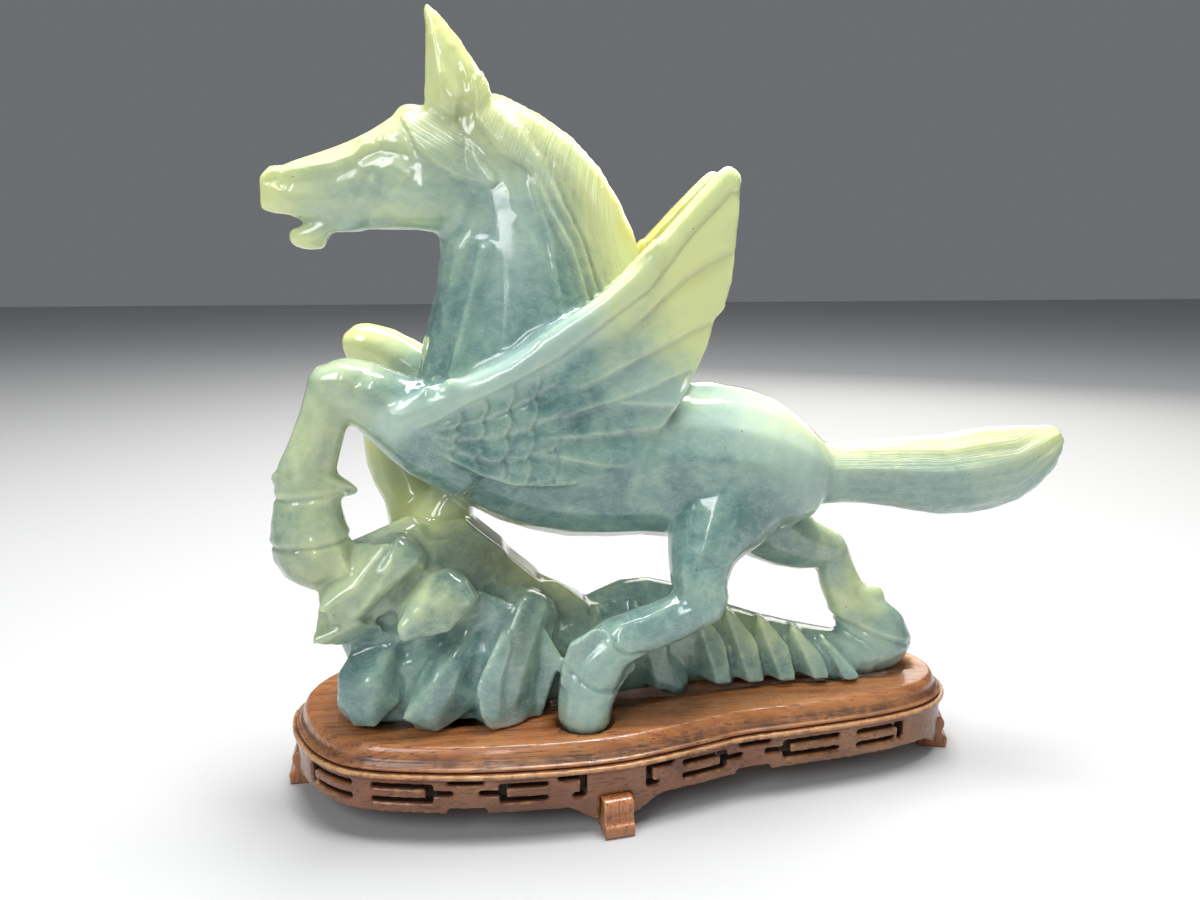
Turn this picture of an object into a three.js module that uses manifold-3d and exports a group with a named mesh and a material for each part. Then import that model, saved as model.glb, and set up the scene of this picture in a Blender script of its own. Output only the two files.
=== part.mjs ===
// Carved jade winged horse on a fretted hardwood stand. Millimetres, +Z up, the horse's head towards -X.
// The stone is one block: horse, wings and rockwork. The stand is a moulded top board glued on a fret-sawn
// apron ring, with four separate feet, each pegged to the ring. The stone drops into a shallow pocket.
import * as THREE from 'three';
import { mergeVertices } from 'three/addons/utils/BufferGeometryUtils.js';
import Module from 'manifold-3d';

const wasm = await Module();
wasm.setup();

// Stand: driving sizes.
const END_MARGIN = 12; // board's top surface, beyond the stone's footprint at each end
const SIDE_MARGIN = 10.25; // and beyond it at the front and back of its wide lobe
const BOARD_THICKNESS = 7.7;
const MOULDING_REACH = 5; // how far the moulded edge runs out below the top surface
const MOULDING_FILLET = 1.2; // flat step under the rounded part of the edge
const LEDGE_REACH = 6.8; // apron's top lip, measured out from the top surface's edge
const LIP_HEIGHT = 2.4;
const APRON_INSET = 1.6; // how far the fretted face stands back under the lip
const APRON_HEIGHT = 15;
const APRON_WALL = 6;
const FOOT_DROP = 10.5; // clear height under the apron
const FOOT_WIDTH = 11;
const FOOT_RISE = 3.1; // how far a foot is let up into the apron
const TOE_REACH = 4.6; // toe beyond the fretted face
const TOE_HEIGHT = 4.8;
const BRACKET_DROP = 5.9; // how far the apron's brackets hang below it beside each foot
const BRACKET_REACH = 13.5;
const NOTCH_RISE = 1.6; // raised step in the middle of each bay's lower edge
const SLOT_HEIGHT = 2.1;
const SLOT_SILL = 3.6; // plain wood under the lowest slots
const SLOT_STAGGER = 1.6; // between the two highest rows of slots
const PIN_RADIUS = 1.4;
const PIN_LENGTH = 15;
const PIN_IN_FOOT = 7.1;
const PIN_CLEARANCE = 0.25;
const JOINT_GAP = 0.3; // glue line between two pieces of wood
const POCKET_DEPTH = 2;
const POCKET_CLEARANCE = 0.6; // around the stone's foot

// Figure: driving sizes. The stations further down are sculpted for these and scale with them.
const FIGURE_SCALE = 1; // whole stone, about the middle of its seat
const WING_ROOT_Y = 27; // wing plane's distance from the horse's middle at the shoulder
const WING_LEAN = 0.109; // how much it closes in for each millimetre towards the tip
const WING_PLATE = 3.2; // thickness of the last feather
const FEATHER_STEP = 0.75; // each feather is this much thicker than the one below it
const FEATHER_LIP = 0.1; // and reaches this much further at its edges

// The stone's footprint in its pocket, and the round one under the near hind hoof.
const SEAT = [
  [-110, 2], [-105, -18], [-82, -27], [-52, -28], [-36, -20], [-12, -14], [16, -13], [50, -8], [80, -7],
  [108, -4], [117, 6], [106, 19], [66, 19], [20, 22], [-40, 27], [-92, 23],
];
const HOOF_SEAT = { x: -21, y: -28.5, radius: 11 };
const STATION_FLOOR = 33.5; // the figure's stations are measured with the board's surface at this height

// Sizes and levels worked out from the sizes above.
const footprint = new THREE.Box2().setFromPoints([
  ...SEAT.map(([x, y]) => new THREE.Vector2(x, y)),
  new THREE.Vector2(HOOF_SEAT.x, HOOF_SEAT.y - HOOF_SEAT.radius),
]).getSize(new THREE.Vector2()).multiplyScalar(FIGURE_SCALE);
const STAND_LENGTH = footprint.x + 2 * END_MARGIN;
const STAND_DEPTH = footprint.y + 2 * SIDE_MARGIN;
const FOOT_TOP = FOOT_DROP + FOOT_RISE;
const PIN_BOTTOM = FOOT_TOP - PIN_IN_FOOT;
const BRACKET_LOW = FOOT_DROP - BRACKET_DROP;
const APRON_TOP = FOOT_DROP + APRON_HEIGHT;
const BOARD_BOTTOM = APRON_TOP + JOINT_GAP;
const BOARD_TOP = BOARD_BOTTOM + BOARD_THICKNESS;
const SEAT_LEVEL = BOARD_TOP - POCKET_DEPTH + JOINT_GAP;
const FACE_REACH = LEDGE_REACH - APRON_INSET;
const LOOP_STEPS = 84; // straight steps round the stand's outline
const LENGTH_STEPS = 800; // for measuring along that outline
const SPOT_TRIES = 720; // for finding the place on it nearest a foot
const MORTISE_STRETCH = 1.6; // a foot's mortise runs right through the wall
const CUT_MARGIN = 4; // a cutter reaches this far past both faces of the wall
const POCKET_OVERCUT = 5; // and this far above the board
const FAR_BELOW = 60;
const FAR_ASIDE = 900;
const PIN_SIDES = 12;
const SEAT_STEPS = 44;
const HOOF_SIDES = 20;
const WELD = 1e-4; // points closer than this are one point
const SLIVER = 0.08; // faces thinner than this, left where limbs cross, are merged away

const JADE = new THREE.MeshStandardMaterial({ color: 0x8fae94, roughness: 0.16, metalness: 0 });
const HARDWOOD = new THREE.MeshStandardMaterial({ color: 0x9a5c2c, roughness: 0.38, metalness: 0 });
const PIN_WOOD = new THREE.MeshStandardMaterial({ color: 0xc9a66b, roughness: 0.6, metalness: 0 });

// ---------------------------------------------------------------- solids

// A closed solid from a geometry, turned the right way out whatever way its faces were built.
function solid(geometry) {
  const bare = geometry.clone();
  bare.deleteAttribute('normal');
  bare.deleteAttribute('uv');
  const welded = mergeVertices(bare, WELD);
  const position = welded.attributes.position;
  const index = Uint32Array.from(welded.index.array);
  const [a, b, c] = [new THREE.Vector3(), new THREE.Vector3(), new THREE.Vector3()];
  let volume = 0;
  for (let i = 0; i < index.length; i += 3) {
    a.fromBufferAttribute(position, index[i]);
    b.fromBufferAttribute(position, index[i + 1]);
    c.fromBufferAttribute(position, index[i + 2]);
    volume += a.dot(b.cross(c));
  }
  if (volume < 0) {
    for (let i = 0; i < index.length; i += 3) [index[i], index[i + 1]] = [index[i + 1], index[i]];
  }
  const mesh = new wasm.Mesh({
    numProp: 3, vertProperties: Float32Array.from(position.array), triVerts: index,
  });
  return new wasm.Manifold(mesh);
}

const union = (parts) => parts.reduce((sum, part) => sum.add(part));

function geometryOf(manifold) {
  const { vertProperties, triVerts } = manifold.getMesh();
  const geometry = new THREE.BufferGeometry();
  geometry.setAttribute('position', new THREE.BufferAttribute(Float32Array.from(vertProperties), 3));
  geometry.setIndex(new THREE.BufferAttribute(Uint32Array.from(triVerts), 1));
  geometry.computeVertexNormals();
  return geometry;
}

// A geometry from rings of points: neighbouring rings are joined by a wall. With ends, the first and last
// ring are each closed on a point or a cap; without them the last ring joins the first.
function skin(rings, { first = null, last = null, cap = false } = {}) {
  const points = rings.flat();
  const count = rings[0].length;
  const index = [];
  const wall = (lower, upper) => {
    for (let i = 0; i < count; i += 1) {
      const j = (i + 1) % count;
      index.push(lower + i, lower + j, upper + j, lower + i, upper + j, upper + i);
    }
  };
  for (let r = 0; r + 1 < rings.length; r += 1) wall(r * count, (r + 1) * count);
  const top = (rings.length - 1) * count;
  if (cap) {
    const flat = rings[0].map((p) => new THREE.Vector2(p.x, p.y));
    for (const [i, j, k] of THREE.ShapeUtils.triangulateShape(flat, [])) {
      index.push(i, k, j, top + i, top + j, top + k);
    }
  } else if (first) {
    points.push(first, last);
    for (let i = 0; i < count; i += 1) {
      const j = (i + 1) % count;
      index.push(points.length - 2, j, i, points.length - 1, top + i, top + j);
    }
  } else {
    wall(top, 0);
  }
  const geometry = new THREE.BufferGeometry().setFromPoints(points);
  geometry.setIndex(index);
  return geometry;
}

// A limb, body or lobe of stone: a row of rounded sections on a smooth path, closed by a dome at each end.
// A station is [x, y, z, half width across the path in Y, half height in the path's own plane].
// A power of 2 makes elliptical sections, more makes them squarer, less gives them ridges.
function limb(stations, { sides = 12, rings = 10, power = 2, dome = 0.7 } = {}) {
  const path = new THREE.CatmullRomCurve3(stations.map(([x, y, z]) => new THREE.Vector3(x, y, z)), false,
    'catmullrom', 0.5);
  const girth = new THREE.CatmullRomCurve3(stations.map((s) => new THREE.Vector3(s[3], s[4], 0)), false,
    'catmullrom', 0.5);
  const section = (t, slide, shrink) => {
    const centre = path.getPoint(t);
    const { x: halfWidth, y: halfHeight } = girth.getPoint(t);
    const along = path.getTangent(t);
    const across = new THREE.Vector3(0, 1, 0).addScaledVector(along, -along.y).normalize();
    const up = new THREE.Vector3().crossVectors(along, across);
    centre.addScaledVector(along, slide * Math.min(halfWidth, halfHeight));
    const ring = Array.from({ length: sides }, (_, i) => {
      const angle = ((i + 0.5) / sides) * 2 * Math.PI;
      const [c, s] = [Math.cos(angle), Math.sin(angle)];
      return centre.clone()
        .addScaledVector(across, shrink * halfWidth * Math.sign(c) * Math.abs(c) ** (2 / power))
        .addScaledVector(up, shrink * halfHeight * Math.sign(s) * Math.abs(s) ** (2 / power));
    });
    return { centre, ring };
  };
  const dip = Math.PI / 4;
  const body = Array.from({ length: rings + 1 }, (_, i) => section(i / rings, 0, 1).ring);
  const start = section(0, -dome * Math.sin(dip), Math.cos(dip)).ring;
  const end = section(1, dome * Math.sin(dip), Math.cos(dip)).ring;
  return solid(skin([start, ...body, end], {
    first: section(0, -dome, 0).centre, last: section(1, dome, 0).centre,
  }));
}

// A flat plate in the XZ plane between two depths, its points then carried by place(x, depth, z).
function plate(outline, near, far, place) {
  const shape = new THREE.Shape(outline.map(([x, z]) => new THREE.Vector2(x, z)));
  const geometry = new THREE.ExtrudeGeometry(shape, { depth: far - near, bevelEnabled: false });
  const position = geometry.attributes.position;
  for (let i = 0; i < position.count; i += 1) {
    const { x, y, z } = place(position.getX(i), near + position.getZ(i), position.getY(i));
    position.setXYZ(i, x, y, z);
  }
  return solid(geometry);
}

// ---------------------------------------------------------------- stand outline

// The top surface's edge, anticlockwise from the right end, as shares of its half length and half depth:
// a wide left lobe, a hollow front right of the middle, and a narrower right end.
const OUTLINE = [
  [1, 0.12], [0.93, 0.5], [0.72, 0.66], [0.47, 0.65], [0.22, 0.77], [-0.04, 0.92], [-0.35, 0.98],
  [-0.67, 0.92], [-0.9, 0.63], [-1, 0.14], [-0.955, -0.4], [-0.835, -0.78], [-0.63, -0.94],
  [-0.38, -1], [-0.1, -0.955], [0.13, -0.78], [0.3, -0.63], [0.5, -0.55], [0.77, -0.41], [0.94, -0.21],
];
const edge = new THREE.CatmullRomCurve3(
  OUTLINE.map(([x, y]) => new THREE.Vector3((x * STAND_LENGTH) / 2, (y * STAND_DEPTH) / 2, 0)),
  true, 'catmullrom', 0.5,
);
edge.arcLengthDivisions = LENGTH_STEPS;

// A point at share u of the way round, moved out by reach and up to level z.
function edgePoint(u, reach, z) {
  const share = ((u % 1) + 1) % 1;
  const point = edge.getPointAt(share);
  const along = edge.getTangentAt(share);
  return new THREE.Vector3(point.x + along.y * reach, point.y - along.x * reach, z);
}

const edgeLoop = (reach, z) =>
  Array.from({ length: LOOP_STEPS }, (_, i) => edgePoint(i / LOOP_STEPS, reach, z));

// The share of the way round that lies nearest a spot given as shares of the half sizes.
function shareNear([x, y]) {
  const spot = new THREE.Vector3((x * STAND_LENGTH) / 2, (y * STAND_DEPTH) / 2, 0);
  const tries = Array.from({ length: SPOT_TRIES }, (_, i) => i / SPOT_TRIES);
  const gap = (u) => edgePoint(u, 0, 0).distanceTo(spot);
  return tries.reduce((best, u) => (gap(u) < gap(best) ? u : best));
}

// A block that follows the apron's wall from share u0 to u1. Its lower and upper levels may change along it,
// and reach gives its inner and outer faces, both measured out from the top surface's edge.
function wallBlock(u0, u1, low, high, [inner, outer], steps = 3) {
  const rings = Array.from({ length: steps + 1 }, (_, i) => {
    const t = i / steps;
    const u = u0 + (u1 - u0) * t;
    return [
      edgePoint(u, inner, low(t)), edgePoint(u, outer, low(t)),
      edgePoint(u, outer, high(t)), edgePoint(u, inner, high(t)),
    ];
  });
  const geometry = skin(rings);
  const walls = Array.from(geometry.index.array).slice(0, steps * 4 * 6);
  const last = steps * 4;
  geometry.setIndex([...walls, 0, 2, 1, 0, 3, 2, last, last + 1, last + 2, last, last + 2, last + 3]);
  return solid(geometry);
}

// ---------------------------------------------------------------- stand pieces

// Where each foot stands on the outline, and how far it is set out past the fretted face.
const FEET = [
  { name: 'right', spot: [1, 0.02], out: -1 },
  { name: 'back', spot: [-0.1, 0.93], out: 1.5 },
  { name: 'left', spot: [-1, 0.02], out: -1 },
  { name: 'front', spot: [-0.1, -0.955], out: 1.5 },
].map((foot) => ({ ...foot, share: shareNear(foot.spot) }));

// Pieces round a foot are built about its own upright axis: x out of the wall, y along it.
function footPlace(share, reach) {
  const point = edgePoint(share, reach, 0);
  const along = edge.getTangentAt(((share % 1) + 1) % 1);
  const outward = new THREE.Vector3(along.y, -along.x, 0);
  return new THREE.Matrix4().makeBasis(outward, along, new THREE.Vector3(0, 0, 1)).setPosition(point);
}

// The foot's side profile, out from the fretted face: a squared toe, a hollow, and a rounded knee over it.
const footProfile = new THREE.Shape();
footProfile.moveTo(-APRON_WALL - 1, 0);
footProfile.lineTo(TOE_REACH, 0);
footProfile.lineTo(TOE_REACH + 0.3, TOE_HEIGHT * 0.9);
footProfile.quadraticCurveTo(2.2, TOE_HEIGHT + 0.8, 2.6, TOE_HEIGHT + 3);
footProfile.quadraticCurveTo(4.4, FOOT_TOP - 2.6, 2.2, FOOT_TOP - 0.6);
footProfile.lineTo(1.2, FOOT_TOP);
footProfile.lineTo(-APRON_WALL - 1, FOOT_TOP);

function footBlock({ share, out }, grow) {
  const geometry = new THREE.ExtrudeGeometry(footProfile, {
    depth: FOOT_WIDTH, bevelEnabled: false, curveSegments: 5,
  });
  geometry.translate(0, 0, -FOOT_WIDTH / 2);
  geometry.rotateX(Math.PI / 2);
  if (grow > 0) {
    geometry.scale(MORTISE_STRETCH, 1 + (2 * grow) / FOOT_WIDTH, 1);
    geometry.translate(0, 0, grow);
  }
  return solid(geometry.applyMatrix4(footPlace(share, FACE_REACH + out)));
}

function pin({ share }, grow) {
  const radius = PIN_RADIUS + grow;
  const geometry = new THREE.CylinderGeometry(radius, radius, PIN_LENGTH + 2 * grow, PIN_SIDES);
  geometry.rotateX(Math.PI / 2);
  geometry.translate(-APRON_WALL / 2, 0, PIN_BOTTOM + PIN_LENGTH / 2);
  return solid(geometry.applyMatrix4(footPlace(share, FACE_REACH)));
}

// Fretwork in one bay, as shares of the bay from its middle foot to its end foot. Rows are measured up
// from the apron's lower edge, and the highest one ends under the lip.
const ROW_TOP = APRON_HEIGHT - LIP_HEIGHT - SLOT_HEIGHT;
const ROW_HIGH = ROW_TOP - SLOT_STAGGER;
const ROW_LOW = SLOT_SILL;
const ROW_MID = (ROW_LOW + ROW_HIGH) / 2;
const FRET = [
  { from: 0.075, to: 0.092, low: ROW_LOW, high: ROW_TOP + SLOT_HEIGHT },
  { from: 0.088, to: 0.15, low: ROW_TOP, high: ROW_TOP + SLOT_HEIGHT },
  { from: 0.088, to: 0.112, low: ROW_LOW, high: ROW_LOW + SLOT_HEIGHT },
  { from: 0.172, to: 0.285, low: ROW_HIGH, high: ROW_HIGH + SLOT_HEIGHT },
  { from: 0.172, to: 0.285, low: ROW_LOW, high: ROW_LOW + SLOT_HEIGHT },
  { from: 0.28, to: 0.3, low: ROW_LOW, high: ROW_HIGH + SLOT_HEIGHT },
  { from: 0.298, to: 0.352, low: ROW_MID, high: ROW_MID + SLOT_HEIGHT },
  { from: 0.335, to: 0.43, low: ROW_TOP, high: ROW_TOP + SLOT_HEIGHT },
  { from: 0.412, to: 0.466, low: ROW_MID, high: ROW_MID + SLOT_HEIGHT },
  { from: 0.464, to: 0.484, low: ROW_LOW, high: ROW_HIGH + SLOT_HEIGHT },
  { from: 0.48, to: 0.625, low: ROW_HIGH, high: ROW_HIGH + SLOT_HEIGHT },
  { from: 0.48, to: 0.625, low: ROW_LOW, high: ROW_LOW + SLOT_HEIGHT },
  { from: 0.67, to: 0.81, low: ROW_HIGH, high: ROW_HIGH + SLOT_HEIGHT },
  { from: 0.67, to: 0.79, low: ROW_LOW, high: ROW_LOW + SLOT_HEIGHT },
  { from: 0.795, to: 0.815, low: ROW_LOW, high: ROW_HIGH + SLOT_HEIGHT },
];
const NOTCH = { from: 0.33, to: 0.43 };

// The four bays run from the front or back foot to the left or right one.
const [rightFoot, backFoot, leftFoot, frontFoot] = FEET;
const BAYS = [
  [frontFoot.share, leftFoot.share],
  [frontFoot.share, rightFoot.share + (rightFoot.share < frontFoot.share ? 1 : 0)],
  [backFoot.share, leftFoot.share],
  [backFoot.share, rightFoot.share - (rightFoot.share > backFoot.share ? 1 : 0)],
];

function apronRing() {
  const wall = [
    [FACE_REACH, BRACKET_LOW], [FACE_REACH, APRON_TOP - LIP_HEIGHT],
    [LEDGE_REACH, APRON_TOP - LIP_HEIGHT + 0.8], [LEDGE_REACH, APRON_TOP],
    [FACE_REACH - APRON_WALL, APRON_TOP], [FACE_REACH - APRON_WALL, BRACKET_LOW],
  ];
  const ring = solid(skin(wall.map(([reach, z]) => edgeLoop(reach, z))));
  const through = [FACE_REACH - APRON_WALL - CUT_MARGIN, LEDGE_REACH + CUT_MARGIN];
  const length = edge.getLength();
  const cuts = [];
  for (const [middle, end] of BAYS) {
    const bay = (t) => middle + (end - middle) * t;
    const bayLength = Math.abs(end - middle) * length;
    const start = (FOOT_WIDTH / 2 - 0.5) / bayLength;
    const bracket = BRACKET_REACH / bayLength;
    const sweep = (t) => BRACKET_LOW + (FOOT_DROP - BRACKET_LOW) * Math.sin((Math.PI / 2) * t) ** 2;
    const below = () => -FAR_BELOW;
    const edgeAt = () => FOOT_DROP;
    const from = start + bracket;
    cuts.push(wallBlock(bay(start), bay(from), below, sweep, through, 5));
    cuts.push(wallBlock(bay(from), bay(1 - from), below, edgeAt, through, 20));
    cuts.push(wallBlock(bay(1 - from), bay(1 - start), below, (t) => sweep(1 - t), through, 5));
    const raised = () => FOOT_DROP + NOTCH_RISE;
    cuts.push(wallBlock(bay(NOTCH.from), bay(NOTCH.to), below, raised, through, 3));
    for (const slot of FRET) {
      const steps = slot.to - slot.from > 0.1 ? 3 : 1;
      const [low, high] = [() => FOOT_DROP + slot.low, () => FOOT_DROP + slot.high];
      cuts.push(wallBlock(bay(slot.from), bay(slot.to), low, high, through, steps));
    }
  }
  for (const foot of FEET) cuts.push(footBlock(foot, JOINT_GAP), pin(foot, PIN_CLEARANCE));
  return ring.subtract(union(cuts));
}

// The moulded edge: a small step, then a quarter round up to the top surface.
function boardBlank() {
  const round = MOULDING_REACH - 0.8;
  const rise = BOARD_THICKNESS - MOULDING_FILLET - 0.6;
  const profile = [[MOULDING_REACH, 0], [MOULDING_REACH, MOULDING_FILLET], [round, MOULDING_FILLET + 0.6]];
  for (let i = 1; i <= 5; i += 1) {
    const angle = (i / 5) * (Math.PI / 2);
    profile.push([round * Math.cos(angle), MOULDING_FILLET + 0.6 + rise * Math.sin(angle)]);
  }
  return solid(skin(profile.map(([reach, z]) => edgeLoop(reach, BOARD_BOTTOM + z)), { cap: true }));
}

// ---------------------------------------------------------------- stone

// The wing's plane leans in over the back: side is -1 for the near wing and 1 for the far one.
const wingPlace = (side) => (x, depth, z) => {
  const out = 0.8 * (x + 80) + 0.6 * (z - 150);
  return { x, y: side * (WING_ROOT_Y - WING_LEAN * out + depth), z };
};

// Leading edge from shoulder to tip, then each feather's tip and the line that its lower edge follows back
// to the shoulder. Every feather lies under the one before it.
const LEADING_EDGE = [
  [-83, 150], [-80, 155], [-73, 158], [-60, 161], [-46, 165], [-36, 174], [-21, 182], [-8, 192], [5, 205],
  [20, 221], [28, 229], [32, 232],
];
const FEATHERS = [
  { tip: [[35, 229], [34, 216], [33, 204]], back: [[15, 194], [2, 182], [-12, 173], [-26, 166], [-50, 156],
    [-78, 147]] },
  { tip: [[32, 193], [29, 183], [26, 180]], back: [[14, 174], [-1, 167], [-18, 159], [-45, 152],
    [-78, 146]] },
  { tip: [[24, 172], [20, 163]], back: [[14, 161], [2, 156], [-12, 152], [-28, 147], [-52, 146],
    [-78, 145]] },
  { tip: [[17, 156], [13, 149]], back: [[-2, 149], [-16, 147], [-30, 143], [-54, 142], [-78, 144]] },
  { tip: [[10, 145], [6, 140]], back: [[-12, 140], [-28, 139], [-38, 138], [-56, 138], [-77, 143]] },
  { tip: [[0, 132], [-8, 128]], back: [[-17, 129], [-30, 132], [-40, 133], [-58, 134], [-76, 142]] },
  { tip: [[-16, 125], [-26, 122]], back: [[-31, 125], [-40, 128], [-56, 131], [-75, 141]] },
  { tip: [[-36, 122], [-46, 123]], back: [[-55, 126], [-64, 131], [-72, 136], [-77, 142], [-81, 146]] },
];

function wing(side) {
  const place = wingPlace(side);
  const parts = FEATHERS.map((feather, i) => {
    const above = FEATHERS.length - 1 - i;
    const lip = above * FEATHER_LIP;
    const leading = LEADING_EDGE.map(([x, z]) => [x - lip, z + lip]);
    const tips = FEATHERS.slice(0, i + 1).flatMap(({ tip }) => tip).map(([x, z]) => [x + lip, z]);
    const half = (WING_PLATE + FEATHER_STEP * above) / 2;
    return plate([...leading, ...tips, ...feather.back], -half, half, place);
  });
  const band = [
    [-79, 149, 4.2, 4.6], [-70, 153, 4.8, 5.4], [-55, 158, 4.8, 5], [-42, 165, 4.6, 5], [-27, 175, 4.4, 5],
    [-9, 187, 4.2, 4.8], [6, 201, 3.8, 4.6], [20, 216, 3.2, 4], [29, 226, 2.4, 3],
  ].map(([x, z, thick, wide]) => {
    const at = place(x, 1, z);
    return [at.x, at.y, at.z, thick, wide];
  });
  parts.push(limb(band, { sides: 8, rings: 12, dome: 0.8 }));
  return union(parts);
}

// Trunk and head. Each row lists the stations of one limb from root to tip.
const TRUNK = [
  [-64, 0, 139, 20, 24], [-44, 0, 133, 23.5, 30], [-20, 0, 127.5, 24, 31.5], [5, 0, 125.5, 23.5, 29.5],
  [28, 0, 124, 24.5, 31], [48, 0, 120.5, 23.5, 29], [64, 0, 117.5, 18, 21],
];
const NECK = [
  [-42, 0, 146, 23, 40], [-42, 0, 166, 20, 36], [-41, 0, 186, 17, 32], [-43, 0, 206, 14.5, 27.5],
  [-47, 0, 224, 12.5, 24.5], [-54, 0, 240, 11.5, 18], [-60, 0, 247, 9.5, 12],
];
const MANE = [
  [-58, 0, 253, 6, 6], [-42, 0, 244, 7, 9], [-27.5, 0, 230, 8, 12.4], [-16, 0, 213, 8.5, 12.6],
  [-10, 0, 197, 9.5, 13], [-5, 0, 180, 11, 13], [4, 0, 165, 13, 12], [14, 0, 154, 14, 9],
];
const HEAD = [
  [-61, 0, 232, 11.5, 21], [-74, 0, 230.5, 12.5, 22], [-84, 0, 228, 11.5, 18.5], [-96, 0, 225.5, 9, 15.5],
  [-108, 0, 224, 7.6, 12.8], [-118, 0, 223, 8, 10.6], [-125, 0, 222.5, 7.4, 8.4],
];
const CHIN = [
  [-98, 0, 214, 6, 5], [-107, 0, 210.5, 6, 5.5], [-114, 0, 208.3, 6, 5.2], [-119, 0, 208, 5, 3.6],
];
const TAIL = [
  [60, 0, 118, 11, 14], [78, 0, 118, 9.5, 12.2], [92, 0, 118, 9, 12.8], [108, 0, 117.3, 10, 14.6],
  [123, 0, 116, 10.5, 16.4], [138, 0, 117.6, 10, 17.4], [151, 0, 120, 8.5, 16], [162, 0, 125, 6.5, 12.5],
  [170, 0, 131, 4, 6],
];
const ear = (side) => [
  [-61, side * 5, 250, 5, 13], [-61.5, side * 6, 259, 4.6, 9.5], [-64.5, side * 6.5, 267, 3.8, 6.4],
  [-68, side * 6, 276, 2.6, 3.6], [-71.6, side * 5, 284, 1, 1],
];

// Legs: the near side is -Y.
const NEAR_FOREARM = [
  [-58, -13, 134, 12, 20], [-74, -17, 142, 12, 18], [-87, -20, 150, 10.5, 13.5],
  [-97, -21.5, 156.5, 9.5, 11.3], [-105, -22, 159.5, 8.6, 9.4],
];
const NEAR_CANNON = [
  [-106.5, -22, 161, 8.2, 7.4], [-109.5, -22, 148, 7.8, 8.3], [-114.2, -22, 135, 7.6, 9.1],
  [-116.5, -22, 127.5, 9, 10.6], [-116.8, -22, 119, 9, 11.4], [-117, -22, 109, 11, 13.2],
  [-116, -22, 101, 12, 14], [-113, -21, 95, 11, 12],
];
const NEAR_SPUR = [[-108, -22, 123.8, 4, 4.4], [-103, -22, 122.2, 3, 2.8], [-99.8, -22, 121.6, 1.2, 1]];
const FAR_FOREARM = [
  [-58, 12, 138, 12, 18], [-76, 17, 153, 10.5, 12], [-90, 21, 164, 9, 9.6], [-101, 22, 168.5, 8, 8.2],
  [-105, 22, 168.5, 6.6, 6],
];
const FAR_CANNON = [
  [-101, 22, 166, 7, 7.4], [-96.5, 22, 150, 7, 7.6], [-94, 21, 136, 7.6, 9.4], [-90.5, 19, 122, 8.6, 11.5],
  [-85.5, 16, 110, 8.4, 10.5], [-82, 13, 99, 9.6, 12],
];
const NEAR_HIND = [
  [38, -8, 118, 15, 26], [30, -14, 106, 13.5, 21], [24, -19, 95, 12, 14], [22, -23, 84, 10.4, 10.8],
  [23, -25, 76, 9, 10],
];
const NEAR_HIND_CANNON = [
  [25, -25, 77.5, 8.4, 8.6], [13, -26, 71.5, 7.8, 8.6], [0, -27, 67, 8, 8.8], [-11, -28, 62.5, 9, 9.8],
  [-17, -28.5, 55, 9.8, 11], [-20, -29, 46, 10, 11.2], [-21, -29, 35, 10, 10.6],
];
const FAR_HIND = [
  [46, 8, 108, 14, 20], [58, 12, 94, 11.5, 16], [70, 13, 86.5, 9.5, 12.5], [81, 13, 83.5, 8, 9.4],
  [86, 13, 82, 7.4, 7.6],
];
const FAR_HIND_CANNON = [
  [85, 13, 82, 7, 7.2], [88.5, 12, 70, 6.6, 8.4], [94, 10, 59, 7.6, 9.6], [103, 8, 48, 10, 14],
  [106, 7, 39, 10.5, 14],
];
const FAR_SPUR = [[96, 10, 62, 4, 4.4], [102, 9.6, 63.5, 4, 4.6], [105.6, 9.4, 62, 3, 3.4]];

// Rockwork: a long core, a bridge up to the chest, teeth that fan out to the front left, and a comb of
// ridges under the hind legs.
const ROCK_CORE = [
  [-98, 4, 54, 18, 21], [-84, 2, 62, 23, 28], [-66, 2, 61, 25, 30], [-46, 2, 54, 23, 25.5],
  [-26, 3, 49.5, 18, 21], [-6, 5, 48, 15, 19.5], [12, 7, 48, 13, 19.5], [34, 8, 46.5, 11, 17],
  [56, 8, 43, 10, 13], [80, 7, 40, 9.5, 10.5], [100, 6, 38.5, 9.5, 8],
];
const ROCK_BRIDGE = [
  [-80, 4, 70, 20, 18], [-77, 5, 88, 16, 17], [-73, 7, 102, 12, 13], [-68, 9, 112, 10, 9],
  [-64, 10, 120, 8, 7],
];
const ROCK_SADDLE = [[-82, -6, 95, 12, 13], [-95, -13, 93, 12, 11], [-106, -18, 92, 11, 9]];
const ROCK_HUMP = [[-18, 6, 55, 9, 11.5], [-4, 7, 63, 9, 11.5], [10, 8, 64, 9, 11], [26, 8, 58, 8, 11]];
const ROCK_TEETH = [
  [[-84, -18, 98, 12, 10], [-94, -22, 90, 11.5, 9.5], [-103, -24, 82, 10, 8.6], [-108, -24, 77, 8, 6.4]],
  [[-96, 2, 72, 8, 12], [-108, 0, 68, 5, 9.5], [-116, -2, 64, 2.6, 6.5]],
  [[-84, -10, 64, 14, 14], [-93, -14, 54, 13, 14], [-101, -15, 44, 11, 12], [-105, -15, 36, 9, 9]],
  [[-66, -22, 84, 9, 11], [-75, -29, 78.5, 7, 9], [-84, -34.5, 74, 2.6, 3.4]],
  [[-58, -10, 68, 12, 12], [-67, -18, 56, 12, 11.5], [-74, -22, 44, 11, 11], [-79, -23, 35, 10, 9]],
  [[-40, -12, 74, 11, 12], [-46, -18, 62, 12, 14], [-50, -21, 48, 12, 13], [-52, -21, 34, 10.5, 11]],
];
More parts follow.
